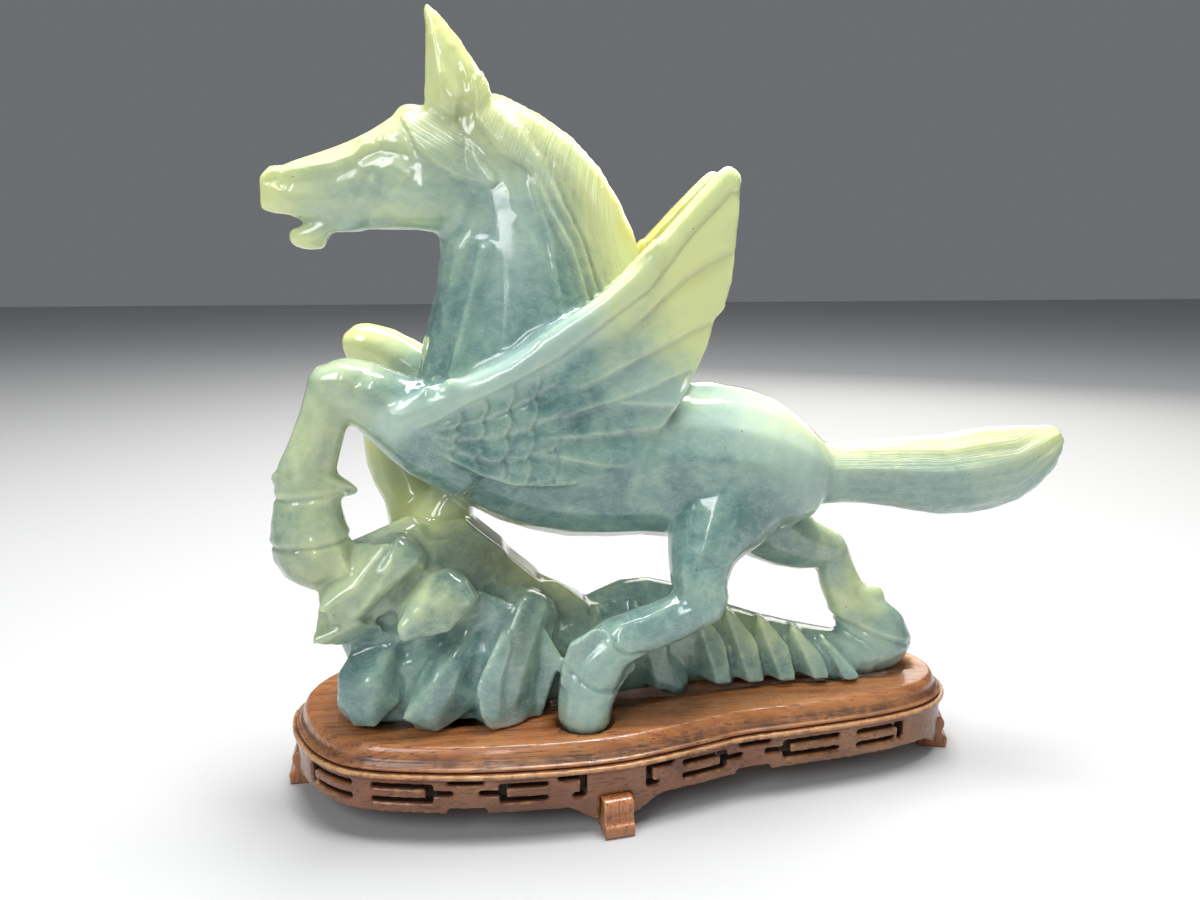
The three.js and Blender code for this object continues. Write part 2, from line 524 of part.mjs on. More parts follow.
const BACK_TEETH = [
  [[-84, 14, 70, 11, 13], [-93, 20, 56, 11, 12], [-99, 22, 42, 10, 11], [-102, 21, 35, 8, 9]],
  [[-62, 14, 76, 11, 12], [-66, 22, 62, 11, 12], [-70, 26, 46, 10.5, 11], [-72, 26, 35, 9, 10]],
  [[-36, 12, 66, 10, 11], [-38, 18, 54, 10.5, 12], [-40, 21, 42, 10, 11], [-41, 21, 35, 9, 10]],
  [[-10, 10, 60, 8, 9], [-10, 15, 46, 9, 10], [-10, 16, 35, 8, 8]],
  [[20, 12, 56, 7, 8], [24, 14, 44, 8, 8], [27, 14, 35, 7, 7]],
];
const COMB = [
  [[5, 1, 62, 6, 4], [17, -3, 34, 9, 7]], [[22, 4, 61, 6, 4], [38, 2, 34, 8.5, 7]],
  [[36, 5, 59, 6, 4], [52, 2.5, 34, 7.5, 6]], [[50, 5, 55, 6, 4], [64, 2.5, 34, 7.5, 5.5]],
  [[66, 5, 49, 7, 5], [84, 2, 36, 9.5, 10]],
];

// The footprint as an upright block, drawn in by an inset.
function seatPlug(inset, low, high) {
  const curve = new THREE.CatmullRomCurve3(
    SEAT.map(([x, y]) => new THREE.Vector3(x * FIGURE_SCALE, y * FIGURE_SCALE, 0)), true, 'catmullrom', 0.5,
  );
  const loop = (z) => Array.from({ length: SEAT_STEPS }, (_, i) => {
    const point = curve.getPoint(i / SEAT_STEPS);
    const along = curve.getTangent(i / SEAT_STEPS);
    return new THREE.Vector3(point.x - along.y * inset, point.y + along.x * inset, z);
  });
  const rock = solid(skin([loop(low), loop(high)], { cap: true }));
  const radius = HOOF_SEAT.radius * FIGURE_SCALE - inset;
  const hoof = new THREE.CylinderGeometry(radius, radius, high - low, HOOF_SIDES);
  hoof.rotateX(Math.PI / 2);
  hoof.translate(HOOF_SEAT.x * FIGURE_SCALE, HOOF_SEAT.y * FIGURE_SCALE, (low + high) / 2);
  return rock.add(solid(hoof));
}

function stone() {
  const parts = [
    limb(TRUNK, { sides: 16, rings: 12 }), limb(NECK, { sides: 14, rings: 10 }),
    limb(MANE, { sides: 10, rings: 12 }), limb(HEAD, { sides: 12, rings: 10, power: 2.3, dome: 0.5 }),
    limb(CHIN, { sides: 8, rings: 5 }), limb(TAIL, { sides: 12, rings: 12, dome: 0.6 }),
    limb(ear(-1), { sides: 8, rings: 6 }), limb(ear(1), { sides: 8, rings: 6 }),
    limb(NEAR_FOREARM, { sides: 12, rings: 8 }), limb(NEAR_CANNON, { sides: 12, rings: 13 }),
    limb(NEAR_SPUR, { sides: 8, rings: 3 }), limb(FAR_FOREARM, { sides: 10, rings: 7 }),
    limb(FAR_CANNON, { sides: 10, rings: 9 }), limb(NEAR_HIND, { sides: 12, rings: 7 }),
    limb(NEAR_HIND_CANNON, { sides: 12, rings: 11 }), limb(FAR_HIND, { sides: 10, rings: 7 }),
    limb(FAR_HIND_CANNON, { sides: 12, rings: 8 }), limb(FAR_SPUR, { sides: 8, rings: 3 }),
    limb(ROCK_CORE, { sides: 12, rings: 14, power: 2.4 }), limb(ROCK_BRIDGE, { sides: 10, rings: 6 }),
    limb(ROCK_SADDLE, { sides: 10, rings: 4 }), limb(ROCK_HUMP, { sides: 8, rings: 5, power: 1.7 }),
    ...[...ROCK_TEETH, ...BACK_TEETH].map((tooth) =>
      limb(tooth, { sides: 8, rings: 4, power: 1.7, dome: 0.5 })),
    ...COMB.map((ridge) => limb(ridge, { sides: 8, rings: 2, power: 1.5 })),
    wing(-1), wing(1),
  ];
  const horse = union(parts)
    .translate(0, 0, -STATION_FLOOR).scale(FIGURE_SCALE).translate(0, 0, BOARD_TOP);
  // Below the board's surface only the footprint is left, and it stops at the pocket's floor.
  const sides = new THREE.BoxGeometry(FAR_ASIDE, FAR_ASIDE, FAR_BELOW);
  sides.translate(0, 0, BOARD_TOP + JOINT_GAP - FAR_BELOW / 2);
  const under = new THREE.BoxGeometry(FAR_ASIDE, FAR_ASIDE, FAR_BELOW);
  under.translate(0, 0, SEAT_LEVEL - FAR_BELOW / 2);
  const kept = seatPlug(POCKET_CLEARANCE, SEAT_LEVEL - 1, BOARD_TOP + POCKET_OVERCUT);
  return horse.subtract(solid(sides).subtract(kept)).subtract(solid(under)).simplify(SLIVER);
}

// ---------------------------------------------------------------- assembly

const figurine = new THREE.Group();

function addPiece(name, manifold, material) {
  const mesh = new THREE.Mesh(geometryOf(manifold), material);
  mesh.name = name;
  figurine.add(mesh);
}

addPiece('winged_horse_carving', stone(), JADE);
const pocket = seatPlug(0, BOARD_TOP - POCKET_DEPTH, BOARD_TOP + POCKET_OVERCUT);
addPiece('top_board', boardBlank().subtract(pocket), HARDWOOD);
addPiece('apron_ring', apronRing(), HARDWOOD);
for (const foot of FEET) {
  addPiece(`foot_${foot.name}`, footBlock(foot, 0).subtract(pin(foot, PIN_CLEARANCE)), HARDWOOD);
  addPiece(`foot_pin_${foot.name}`, pin(foot, 0), PIN_WOOD);
}

// The origin is under the middle of the whole object, on the surface it stands on.
const box = new THREE.Box3().setFromObject(figurine);
const middle = box.getCenter(new THREE.Vector3());
figurine.position.set(-middle.x, -middle.y, -box.min.z);

export default figurine;
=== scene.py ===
"""A carved jade winged horse on its fretted hardwood stand, dressed for a studio picture.

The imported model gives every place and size. The stone is taken from its plain solid, remeshed, softened and
then carved in finer detail. The stand's board, apron and feet are rebuilt with smooth outlines, mouldings and
worn edges. Everything is in metres, +Z up; carved features are given in millimetres in the figure's own frame,
whose X and Y start near the middle of the stand and whose Z starts at the ground.
"""

import logging
import math
from collections.abc import Iterable, Sequence
from dataclasses import dataclass, field
from enum import Enum

import bmesh
import bpy
import numpy as np
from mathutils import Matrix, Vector
from mathutils.bvhtree import BVHTree


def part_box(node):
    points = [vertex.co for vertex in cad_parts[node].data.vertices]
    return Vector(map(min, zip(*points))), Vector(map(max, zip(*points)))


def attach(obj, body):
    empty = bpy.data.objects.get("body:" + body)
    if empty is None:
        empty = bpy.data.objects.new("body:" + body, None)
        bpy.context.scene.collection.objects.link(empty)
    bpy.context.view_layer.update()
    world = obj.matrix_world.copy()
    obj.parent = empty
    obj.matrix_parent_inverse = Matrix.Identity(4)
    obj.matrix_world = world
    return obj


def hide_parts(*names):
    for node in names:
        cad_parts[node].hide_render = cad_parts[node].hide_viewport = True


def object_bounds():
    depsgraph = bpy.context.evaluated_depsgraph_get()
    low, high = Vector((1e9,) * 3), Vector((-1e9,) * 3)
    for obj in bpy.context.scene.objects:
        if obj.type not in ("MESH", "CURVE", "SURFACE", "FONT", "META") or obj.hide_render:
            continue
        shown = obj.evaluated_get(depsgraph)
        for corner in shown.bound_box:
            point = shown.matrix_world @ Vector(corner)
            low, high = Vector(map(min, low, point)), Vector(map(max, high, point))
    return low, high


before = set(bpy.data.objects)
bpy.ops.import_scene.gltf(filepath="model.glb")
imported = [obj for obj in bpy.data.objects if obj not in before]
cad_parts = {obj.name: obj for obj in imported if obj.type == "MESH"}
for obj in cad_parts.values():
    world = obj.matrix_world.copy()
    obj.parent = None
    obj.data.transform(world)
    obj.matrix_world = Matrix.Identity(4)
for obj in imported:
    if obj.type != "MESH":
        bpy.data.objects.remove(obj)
cad_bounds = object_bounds()

LOG = logging.getLogger("winged_horse")
MM = 0.001
SAME_POINT = 1e-6  # corners of a plain solid closer than this are one point
Colour = tuple[float, float, float]
Line = Sequence[Sequence[float]]


class Body(Enum):
    """The bodies that pieces ride on."""

    STAND = "stand"
    CARVING = "carving"


class Slot(Enum):
    """Names of material slots for the finishes."""

    JADE = "jade"
    HARDWOOD = "hardwood"
    PEG_WOOD = "peg_wood"


class Side(Enum):
    """The two sides of the horse, as the sign of Y."""

    NEAR = -1
    FAR = 1


def smoothstep(values: np.ndarray, low: float, high: float) -> np.ndarray:
    """Rises smoothly from 0 at low to 1 at high, or falls where high is the lower one.

    Args:
        values: Numbers to map.
        low: Where the result is 0.
        high: Where the result is 1.

    Returns:
        The mapped numbers, from 0 to 1.
    """
    share = np.clip((values - low) / (high - low), 0.0, 1.0)
    return share * share * (3.0 - 2.0 * share)


def line_distance(points: np.ndarray, line: Line, closed: bool = False) -> tuple[np.ndarray, np.ndarray]:
    """Finds how far each point is from a line of straight pieces.

    Args:
        points: Points as rows, in two or three dimensions.
        line: The line's corners, in the same dimensions.
        closed: Whether the last corner joins the first.

    Returns:
        Each point's distance to the line, and how far along the line its nearest spot lies.
    """
    corners = np.asarray(line, float)
    if closed:
        corners = np.vstack([corners, corners[:1]])
    best = np.full(len(points), np.inf)
    along = np.zeros(len(points))
    start = 0.0
    for first, second in zip(corners[:-1], corners[1:]):
        run = second - first
        length = float(np.linalg.norm(run))
        share = np.clip(((points - first) @ run) / (length * length), 0.0, 1.0)
        gap = np.linalg.norm(points - first - share[:, None] * run, axis=1)
        nearer = gap < best
        best = np.where(nearer, gap, best)
        along = np.where(nearer, start + share * length, along)
        start += length
    return best, along


def inside(points: np.ndarray, outline: Line) -> np.ndarray:
    """Tells which points of a plane lie inside a closed outline.

    Args:
        points: Points as rows of two numbers.
        outline: The outline's corners.

    Returns:
        True for each point inside.
    """
    corners = np.asarray(outline, float)
    result = np.zeros(len(points), bool)
    for (ax, ay), (bx, by) in zip(corners, np.roll(corners, -1, axis=0)):
        crosses = (ay > points[:, 1]) != (by > points[:, 1])
        if ay != by:
            result ^= crosses & (points[:, 0] < (bx - ax) * (points[:, 1] - ay) / (by - ay) + ax)
    return result


def height_at(line: Line, places: np.ndarray) -> np.ndarray:
    """Reads a line given as (x, z) corners as a height over x."""
    corners = sorted((tuple(corner) for corner in line), key=lambda corner: corner[0])
    return np.interp(places, [c[0] for c in corners], [c[1] for c in corners])


class Clay:
    """A closed mesh as arrays that can be smoothed and carved, in millimetres in the figure's frame."""

    def __init__(self, mesh: bpy.types.Mesh, datum: np.ndarray) -> None:
        """Reads the mesh.

        Args:
            mesh: A mesh in metres.
            datum: Where the working frame's origin lies, in metres.
        """
        self.mesh = mesh
        self.datum = datum
        count = len(mesh.vertices)
        flat = np.empty(count * 3, np.float32)
        mesh.vertices.foreach_get("co", flat)
        self.points = (flat.reshape(-1, 3).astype(float) - datum) / MM
        pairs = np.empty(len(mesh.edges) * 2, np.int32)
        mesh.edges.foreach_get("vertices", pairs)
        pairs = pairs.reshape(-1, 2)
        self.here = np.concatenate([pairs[:, 0], pairs[:, 1]])
        self.there = np.concatenate([pairs[:, 1], pairs[:, 0]])
        self.valence = np.maximum(np.bincount(self.here, minlength=count), 1)

    def write(self) -> None:
        """Puts the points back into the mesh."""
        flat = (self.points * MM + self.datum).astype(np.float32).ravel()
        self.mesh.vertices.foreach_set("co", flat)
        self.mesh.update()

    def normals(self) -> np.ndarray:
        """Gives each point's outward direction."""
        self.write()
        flat = np.empty(len(self.points) * 3, np.float32)
        self.mesh.vertex_normals.foreach_get("vector", flat)
        return flat.reshape(-1, 3).astype(float)

    def averaged(self, values: np.ndarray) -> np.ndarray:
        """Replaces each point's value, or row of values, by the mean of its neighbours'."""
        rows = values.reshape(len(self.points), -1)
        sums = [
            np.bincount(self.here, weights=rows[self.there, k], minlength=len(rows))
            for k in range(rows.shape[1])
        ]
        return (np.stack(sums, 1) / self.valence[:, None]).reshape(values.shape)

    def smooth(self, rounds: int, weight: np.ndarray | float = 1.0, keep: float = 1.04) -> None:
        """Softens the surface while holding its volume.

        Args:
            rounds: How many times it's softened.
            weight: How much each point takes part.
            keep: How strongly each softening step is undone for broad shapes.
        """
        share = np.broadcast_to(np.asarray(weight, float), len(self.points))[:, None]
        for _ in range(rounds):
            self.points += 0.5 * share * (self.averaged(self.points) - self.points)
            self.points -= 0.5 * keep * share * (self.averaged(self.points) - self.points)

    def soften(self, values: np.ndarray, rounds: int) -> np.ndarray:
        """Blurs a value over the surface."""
        for _ in range(rounds):
            values = 0.5 * (values + self.averaged(values))
        return values

    def bend(self) -> np.ndarray:
        """Measures how far each point lies under its neighbours: above 0 in hollows, below 0 on crests."""
        return np.einsum("ij,ij->i", self.averaged(self.points) - self.points, self.normals())

    def crests(self, gain: float) -> np.ndarray:
        """Finds the keen edges, as a soft mask that a larger gain makes wider."""
        return self.soften(np.clip(-self.bend() * gain, 0.0, 1.0), 2)

    def creases(self, gain: float) -> np.ndarray:
        """Finds the narrow hollows, as a soft mask that a larger gain makes wider."""
        return self.soften(np.clip(self.bend() * gain, 0.0, 1.0), 2)

    def push(self, depth: np.ndarray, normals: np.ndarray | None = None) -> None:
        """Moves each point along its outward direction."""
        directions = self.normals() if normals is None else normals
        self.points += depth[:, None] * directions

    def ridge(self, line: Line, height: float, width: float, facing: Sequence[float] | None = None,
              sharp: float = 1.0) -> None:
        """Raises a crest along a line in space, or cuts a groove where the height is negative.

        Args:
            line: Corners of the line, near the surface.
            height: How far the crest stands up.
            width: How fast it falls away beside the line.
            facing: Only the surface that looks this way takes part.
            sharp: 1 gives a keen crest, 2 a rounded one.
        """
        corners = np.asarray(line, float)
        reach = 4.0 * width
        near = np.all((self.points > corners.min(0) - reach) & (self.points < corners.max(0) + reach), axis=1)
        picked = np.flatnonzero(near)
        if not len(picked):
            return
        normals = self.normals()[picked]
        gap, _ = line_distance(self.points[picked], line)
        depth = height * np.exp(-((gap / width) ** sharp))
        if facing is not None:
            way = np.asarray(facing, float)
            depth *= smoothstep(normals @ (way / np.linalg.norm(way)), 0.05, 0.45)
        self.points[picked] += depth[:, None] * normals

    def trace(self, line: Line, height: float, width: float, side: Side, sharp: float = 2.0,
              beyond: float = 2.0) -> None:
        """Raises a crest or cuts a groove along a line that is drawn on the figure's side view.

        Args:
            line: Corners of the line as (x, z).
            height: How far the crest stands up; a negative number cuts a groove.
            width: How fast it falls away beside the line.
            side: The side of the horse that it's drawn on.
            sharp: 1 gives a keen crest, 2 a rounded one.
            beyond: Only the surface this far out from the horse's middle takes part.
        """
        flat = self.points[:, [0, 2]]
        corners = np.asarray(line, float)
        reach = 3.5 * width
        near = np.all((flat > corners.min(0) - reach) & (flat < corners.max(0) + reach), axis=1)
        picked = np.flatnonzero(near & (self.points[:, 1] * side.value > beyond))
        if not len(picked):
            return
        normals = self.normals()[picked]
        gap, _ = line_distance(flat[picked], line)
        depth = height * np.exp(-((gap / width) ** sharp)) * smoothstep(normals[:, 1] * side.value, 0.1, 0.5)
        self.points[picked] += depth[:, None] * normals

    def blob(self, centre: Sequence[float], radii: Sequence[float], height: float) -> None:
        """Swells the surface near a spot, or sinks it where the height is negative.

        Args:
            centre: Middle of the swelling.
            radii: Its reach along X, Y and Z.
            height: How far the middle moves.
        """
        gap = np.linalg.norm((self.points - centre) / np.asarray(radii, float), axis=1)
        picked = np.flatnonzero(gap < 1.0)
        if len(picked):
            self.points[picked] += (height * (1.0 - gap[picked] ** 2) ** 2)[:, None] * self.normals()[picked]

    def store(self, name: str, values: np.ndarray) -> None:
        """Saves a value for each point under a name that materials can read."""
        layer = self.mesh.attributes.get(name) or self.mesh.attributes.new(name, "FLOAT", "POINT")
        layer.data.foreach_set("value", values.astype(np.float32))


@dataclass(frozen=True)
class Swell:
    """A soft swelling, or a dent where the height is negative."""

    name: str
    centre: tuple[float, float, float]
    radii: tuple[float, float, float]
    height: float

    def work(self, clay: Clay, side: Side) -> None:
        """Works it into one side of the stone; its middle's Y is measured outwards."""
        x, out, z = self.centre
        clay.blob((x, out * side.value, z), self.radii, self.height)


@dataclass(frozen=True)
class Stroke:
    """A crest drawn on the figure's side view, or a groove where the height is negative."""

    name: str
    line: Line
    height: float
    width: float
    sharp: float = 2.0
    beyond: float = 2.0

    def work(self, clay: Clay, side: Side) -> None:
        """Carves it on one side of the stone."""
        clay.trace(self.line, self.height, self.width, side, self.sharp, self.beyond)


@dataclass(frozen=True)
class LegRing:
    """A groove right round a leg, with a low swelling above it."""

    name: str
    x_range: tuple[float, float]
    y_range: tuple[float, float]
    level: float
    slope: float
    depth: float
    width: float = 0.75
    swelling_above: float = 2.2

    def work(self, clay: Clay, side: Side) -> None:
        """Cuts it; its Y range is measured outwards on the given side."""
        x, y, z = clay.points.T
        out = y * side.value
        here = (x > self.x_range[0] - 3) & (x < self.x_range[1])
        here &= (out > self.y_range[0]) & (out < self.y_range[1])
        picked = np.flatnonzero(here & (np.abs(z - self.level) < 9))
        offset = z[picked] - self.level - self.slope * (x[picked] - sum(self.x_range) / 2)
        cut = -self.depth * np.exp(-np.abs(offset / self.width) ** 1.5)
        cut += 0.35 * self.depth * np.exp(-((offset - self.swelling_above) / 1.3) ** 2)
        clay.points[picked] += cut[:, None] * clay.normals()[picked]


def shifted(line: Line, x: float = 0.0, z: float = 0.0) -> list[tuple[float, float]]:
    """Moves a line of the side view along X and Z."""
    return [(corner[0] + x, corner[1] + z) for corner in line]


def new_piece(name: str, mesh: bpy.types.Mesh) -> bpy.types.Object:
    """Puts a mesh into the scene under a name of its own."""
    piece = bpy.data.objects.new(name, mesh)
    bpy.context.scene.collection.objects.link(piece)
    return piece


def copy_solid(node: str, name: str) -> bpy.types.Object:
    """Copies a plain solid as a new piece with its split corners joined again.

    Args:
        node: The solid to copy.
        name: The new piece's name.

    Returns:
        The new piece.
    """
    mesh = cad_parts[node].data.copy()
    mesh.name = name
    mesh.materials.clear()
    built = bmesh.new()
    built.from_mesh(mesh)
    bmesh.ops.remove_doubles(built, verts=built.verts, dist=SAME_POINT)
    built.to_mesh(mesh)
    built.free()
    for layer in [a.name for a in mesh.attributes if a.name.startswith("custom_normal")]:
        mesh.attributes.remove(mesh.attributes[layer])
    return new_piece(name, mesh)


def apply_modifiers(piece: bpy.types.Object) -> None:
    """Turns a piece's modifiers into its own mesh."""
    graph = bpy.context.evaluated_depsgraph_get()
    mesh = bpy.data.meshes.new_from_object(piece.evaluated_get(graph), depsgraph=graph)
    piece.modifiers.clear()
    old = piece.data
    piece.data = mesh
    name = old.name
    bpy.data.meshes.remove(old)
    mesh.name = name


def cut_away(piece: bpy.types.Object, cutter: bpy.types.Object) -> None:
    """Cuts one shape out of a piece.

    Args:
        piece: The piece to cut.
        cutter: The shape to take away, which is thrown away afterwards.
    """
    modifier = piece.modifiers.new("cut", "BOOLEAN")
    modifier.operation = "DIFFERENCE"
    modifier.solver = "EXACT"
    modifier.object = cutter
    apply_modifiers(piece)
    bpy.data.objects.remove(cutter)


def remesh(piece: bpy.types.Object, grain: float) -> None:
    """Gives a piece an even mesh.

    Args:
        piece: The piece to rebuild.
        grain: Distance between mesh points, in millimetres.
    """
    modifier = piece.modifiers.new("even", "REMESH")
    modifier.mode = "VOXEL"
    modifier.voxel_size = grain * MM
    apply_modifiers(piece)


def thin_out(piece: bpy.types.Object, triangles: int) -> None:
    """Drops the mesh points that flat and gently curved places don't need.

    Args:
        piece: The piece to lighten.
        triangles: How many triangles it may keep.
    """
    piece.data.calc_loop_triangles()
    modifier = piece.modifiers.new("lighter", "DECIMATE")
    modifier.ratio = min(1.0, triangles / len(piece.data.loop_triangles))
    apply_modifiers(piece)


def shade_smooth(piece: bpy.types.Object) -> None:
    """Shades every face of a piece smoothly."""
    piece.data.polygons.foreach_set("use_smooth", [True] * len(piece.data.polygons))
    piece.data.update()


def settle(piece: bpy.types.Object, material: bpy.types.Material, body: Body,
           nodes: Iterable[str]) -> None:
    """Dresses a finished piece, puts it on its body and hides the plain solids it stands for.

    Args:
        piece: The piece.
        material: Its finish.
        body: The body it rides on.
        nodes: The plain solids it stands for.
    """
    piece.data.materials.clear()
    piece.data.materials.append(material)
    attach(piece, body.value)
    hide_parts(*nodes)
    LOG.info("%s: %d points, %d faces", piece.name, len(piece.data.vertices), len(piece.data.polygons))


# ---------------------------------------------------------------- node trees


class Graph:
    """Adds nodes to one tree and links them."""

    def __init__(self, tree: bpy.types.NodeTree) -> None:
        """Works on the given tree."""
        self.tree = tree

    def add(self, kind: str, sockets: dict | None = None, **settings: object) -> bpy.types.Node:
        """Adds a node.

        Args:
            kind: The node's type.
            sockets: Values or source sockets for its inputs, by name or number.
            settings: The node's own settings.

        Returns:
            The new node.
        """
        node = self.tree.nodes.new(kind)
        for name, value in settings.items():
            setattr(node, name, value)
        self.feed(node, sockets or {})
        return node

    def feed(self, node: bpy.types.Node, sockets: dict) -> None:
        """Sets a node's inputs, by name or number, to values or to other nodes' results."""
        for key, value in sockets.items():
            if isinstance(value, bpy.types.NodeSocket):
                self.tree.links.new(value, node.inputs[key])
            else:
                node.inputs[key].default_value = value

    def effect(self, tree: bpy.types.NodeTree, sockets: dict) -> bpy.types.Node:
        """Places a shared effect with its own values."""
        return self.add("ShaderNodeGroup", sockets, node_tree=tree)

    def math(self, operation: str, *values: object, clamp: bool = False) -> bpy.types.NodeSocket:
        """Adds a sum of one or more values and gives its result."""
        node = self.add("ShaderNodeMath", dict(enumerate(values)), operation=operation, use_clamp=clamp)
        return node.outputs[0]

    def mix(self, share: object, first: object, second: object, blend: str = "MIX") -> bpy.types.NodeSocket:
        """Mixes two colours by a share and gives the result."""
        node = self.add("ShaderNodeMix", {0: share, 6: first, 7: second}, data_type="RGBA",
                        blend_type=blend, clamp_factor=True)
        return node.outputs[2]

    def spread(self, value: object, low: float, high: float, to_low: float = 0.0,
               to_high: float = 1.0) -> bpy.types.NodeSocket:
        """Maps a value from one range to another with soft ends and gives the result."""
        sockets = {0: value, 1: low, 2: high, 3: to_low, 4: to_high}
        node = self.add("ShaderNodeMapRange", sockets, interpolation_type="SMOOTHSTEP")
        return node.outputs[0]

    def noise(self, vector: object, scale: object, detail: float = 3.0, rough: float = 0.5,
              twist: float = 0.0) -> bpy.types.NodeSocket:
        """Adds cloudy noise and gives its value."""
        sockets = {"Vector": vector, "Scale": scale, "Detail": detail, "Roughness": rough,
                   "Distortion": twist}
        return self.add("ShaderNodeTexNoise", sockets).outputs["Fac"]

    def stretch(self, vector: object, scale: Sequence[float]) -> bpy.types.NodeSocket:
        """Scales a place along each axis and gives the result."""
        return self.add("ShaderNodeMapping", {"Vector": vector, "Scale": scale}).outputs[0]

    def value_of(self, name: str) -> bpy.types.NodeSocket:
        """Reads a value stored on the mesh."""
        return self.add("ShaderNodeAttribute", attribute_name=name).outputs["Fac"]

    def place(self) -> bpy.types.NodeSocket:
        """Gives the place on the piece, in metres."""
        return self.add("ShaderNodeTexCoord").outputs["Object"]


def opaque(colour: Colour) -> tuple[float, float, float, float]:
    """Adds full cover to a colour."""
    return (*colour, 1.0)


def new_group(name: str, inputs: dict[str, str], outputs: dict[str, str]) -> tuple[
        Graph, bpy.types.Node, bpy.types.Node]:
    """Starts a shared effect with named inputs and outputs.

    Args:
        name: The effect's name.
        inputs: Socket types by name.
        outputs: Socket types by name.

    Returns:
        A graph on the effect's tree, and its input and output nodes.
    """
    tree = bpy.data.node_groups.new(name, "ShaderNodeTree")
    for label, kind in inputs.items():
        tree.interface.new_socket(name=label, in_out="INPUT", socket_type=kind)
    for label, kind in outputs.items():
        tree.interface.new_socket(name=label, in_out="OUTPUT", socket_type=kind)
    graph = Graph(tree)
    return graph, graph.add("NodeGroupInput"), graph.add("NodeGroupOutput")


def clouding_group() -> bpy.types.NodeTree:
    """Builds soft blotches with finer mottling in them, for stone and for old varnish.

    Returns:
        The effect, which gives Broad and Fine values from 0 to 1.
    """
    graph, start, end = new_group(
        "clouding",
        {"Vector": "NodeSocketVector", "Broad Scale": "NodeSocketFloat", "Fine Scale": "NodeSocketFloat"},
        {"Broad": "NodeSocketFloat", "Fine": "NodeSocketFloat"},
    )
    broad = graph.noise(start.outputs["Vector"], start.outputs["Broad Scale"], 4.0, 0.55, 0.6)
    fine = graph.noise(start.outputs["Vector"], start.outputs["Fine Scale"], 5.0, 0.62, 0.3)
    graph.feed(end, {"Broad": graph.spread(broad, 0.32, 0.68), "Fine": graph.spread(fine, 0.3, 0.7)})
    return graph.tree


def specks_group() -> bpy.types.NodeTree:
    """Builds sparse small specks.

    Returns:
        The effect, which gives a Mask that is 1 in each speck.
    """
    graph, start, end = new_group(
        "specks",
        {"Vector": "NodeSocketVector", "Scale": "NodeSocketFloat", "Size": "NodeSocketFloat"},
        {"Mask": "NodeSocketFloat"},
    )
    empty_share = 0.72
    cell = graph.add("ShaderNodeTexVoronoi", {"Vector": start.outputs["Vector"],
                                              "Scale": start.outputs["Scale"], "Randomness": 1.0})
    chance = graph.add("ShaderNodeSeparateColor", {0: cell.outputs["Color"]}).outputs[0]
    rare = graph.math("GREATER_THAN", chance, empty_share)
    size = graph.math("MULTIPLY", start.outputs["Size"], chance)
    core = graph.math("LESS_THAN", cell.outputs["Distance"], size)
    graph.feed(end, {"Mask": graph.math("MULTIPLY", core, rare)})
    return graph.tree


def timber_group() -> bpy.types.NodeTree:
    """Builds a plank's figure: bands of early and late wood, fibres, and open pores.

    Returns:
        The effect, which gives Band, Fibre and Pore values from 0 to 1. The grain runs along the vector's X.
    """
    graph, start, end = new_group(
        "timber",
        {"Vector": "NodeSocketVector", "Band Scale": "NodeSocketFloat"},
        {"Band": "NodeSocketFloat", "Fibre": "NodeSocketFloat", "Pore": "NodeSocketFloat"},
    )
    along_grain = {"wander": (9.0, 60.0, 60.0), "fibre": (26.0, 900.0, 900.0),
                   "pore": (110.0, 1500.0, 1500.0), "patch": (18.0, 140.0, 140.0)}
    wander_reach, board_tilt = 0.016, 0.45
    vector = start.outputs["Vector"]
    wander = graph.noise(graph.stretch(vector, along_grain["wander"]), 1.0, 3.0, 0.5)
    across = graph.add("ShaderNodeSeparateXYZ", {0: vector})
    lift = graph.math("MULTIPLY_ADD", wander, wander_reach, across.outputs[1])
    ring = graph.math("ADD", lift, graph.math("MULTIPLY", across.outputs[2], board_tilt))
    phase = graph.math("MULTIPLY", ring, start.outputs["Band Scale"])
    band = graph.noise(graph.add("ShaderNodeCombineXYZ", {0: phase}).outputs[0], 1.0, 4.0, 0.65)
    fibre = graph.noise(graph.stretch(vector, along_grain["fibre"]), 1.0, 4.0, 0.6)
    pore = graph.noise(graph.stretch(vector, along_grain["pore"]), 1.0, 1.0, 0.5)
    patch = graph.noise(graph.stretch(vector, along_grain["patch"]), 1.0, 2.0, 0.5)
    holes = graph.spread(graph.math("MULTIPLY_ADD", patch, 0.22, pore), 0.7, 0.8)
    graph.feed(end, {"Band": graph.spread(band, 0.3, 0.7), "Fibre": graph.spread(fibre, 0.3, 0.72),
                     "Pore": holes})
    return graph.tree


def wear_group() -> bpy.types.NodeTree:
    """Builds broken, rubbed wear out of a smooth mask of exposed edges.

    Returns:
        The effect, which gives a Mask from 0 to 1.
    """
    graph, start, end = new_group(
        "edge_wear",
        {"Vector": "NodeSocketVector", "Edge": "NodeSocketFloat", "Amount": "NodeSocketFloat"},
        {"Mask": "NodeSocketFloat"},
    )
    grit = graph.noise(start.outputs["Vector"], 260.0, 5.0, 0.7)
    level = graph.math("ADD", graph.math("MULTIPLY", start.outputs["Edge"], start.outputs["Amount"]), grit)
    graph.feed(end, {"Mask": graph.spread(level, 0.75, 1.15)})
    return graph.tree


@dataclass
class SharedEffects:
    """The effects that more than one finish uses, each built once."""

    clouding: bpy.types.NodeTree = field(default_factory=clouding_group)
    specks: bpy.types.NodeTree = field(default_factory=specks_group)
    timber: bpy.types.NodeTree = field(default_factory=timber_group)
    wear: bpy.types.NodeTree = field(default_factory=wear_group)


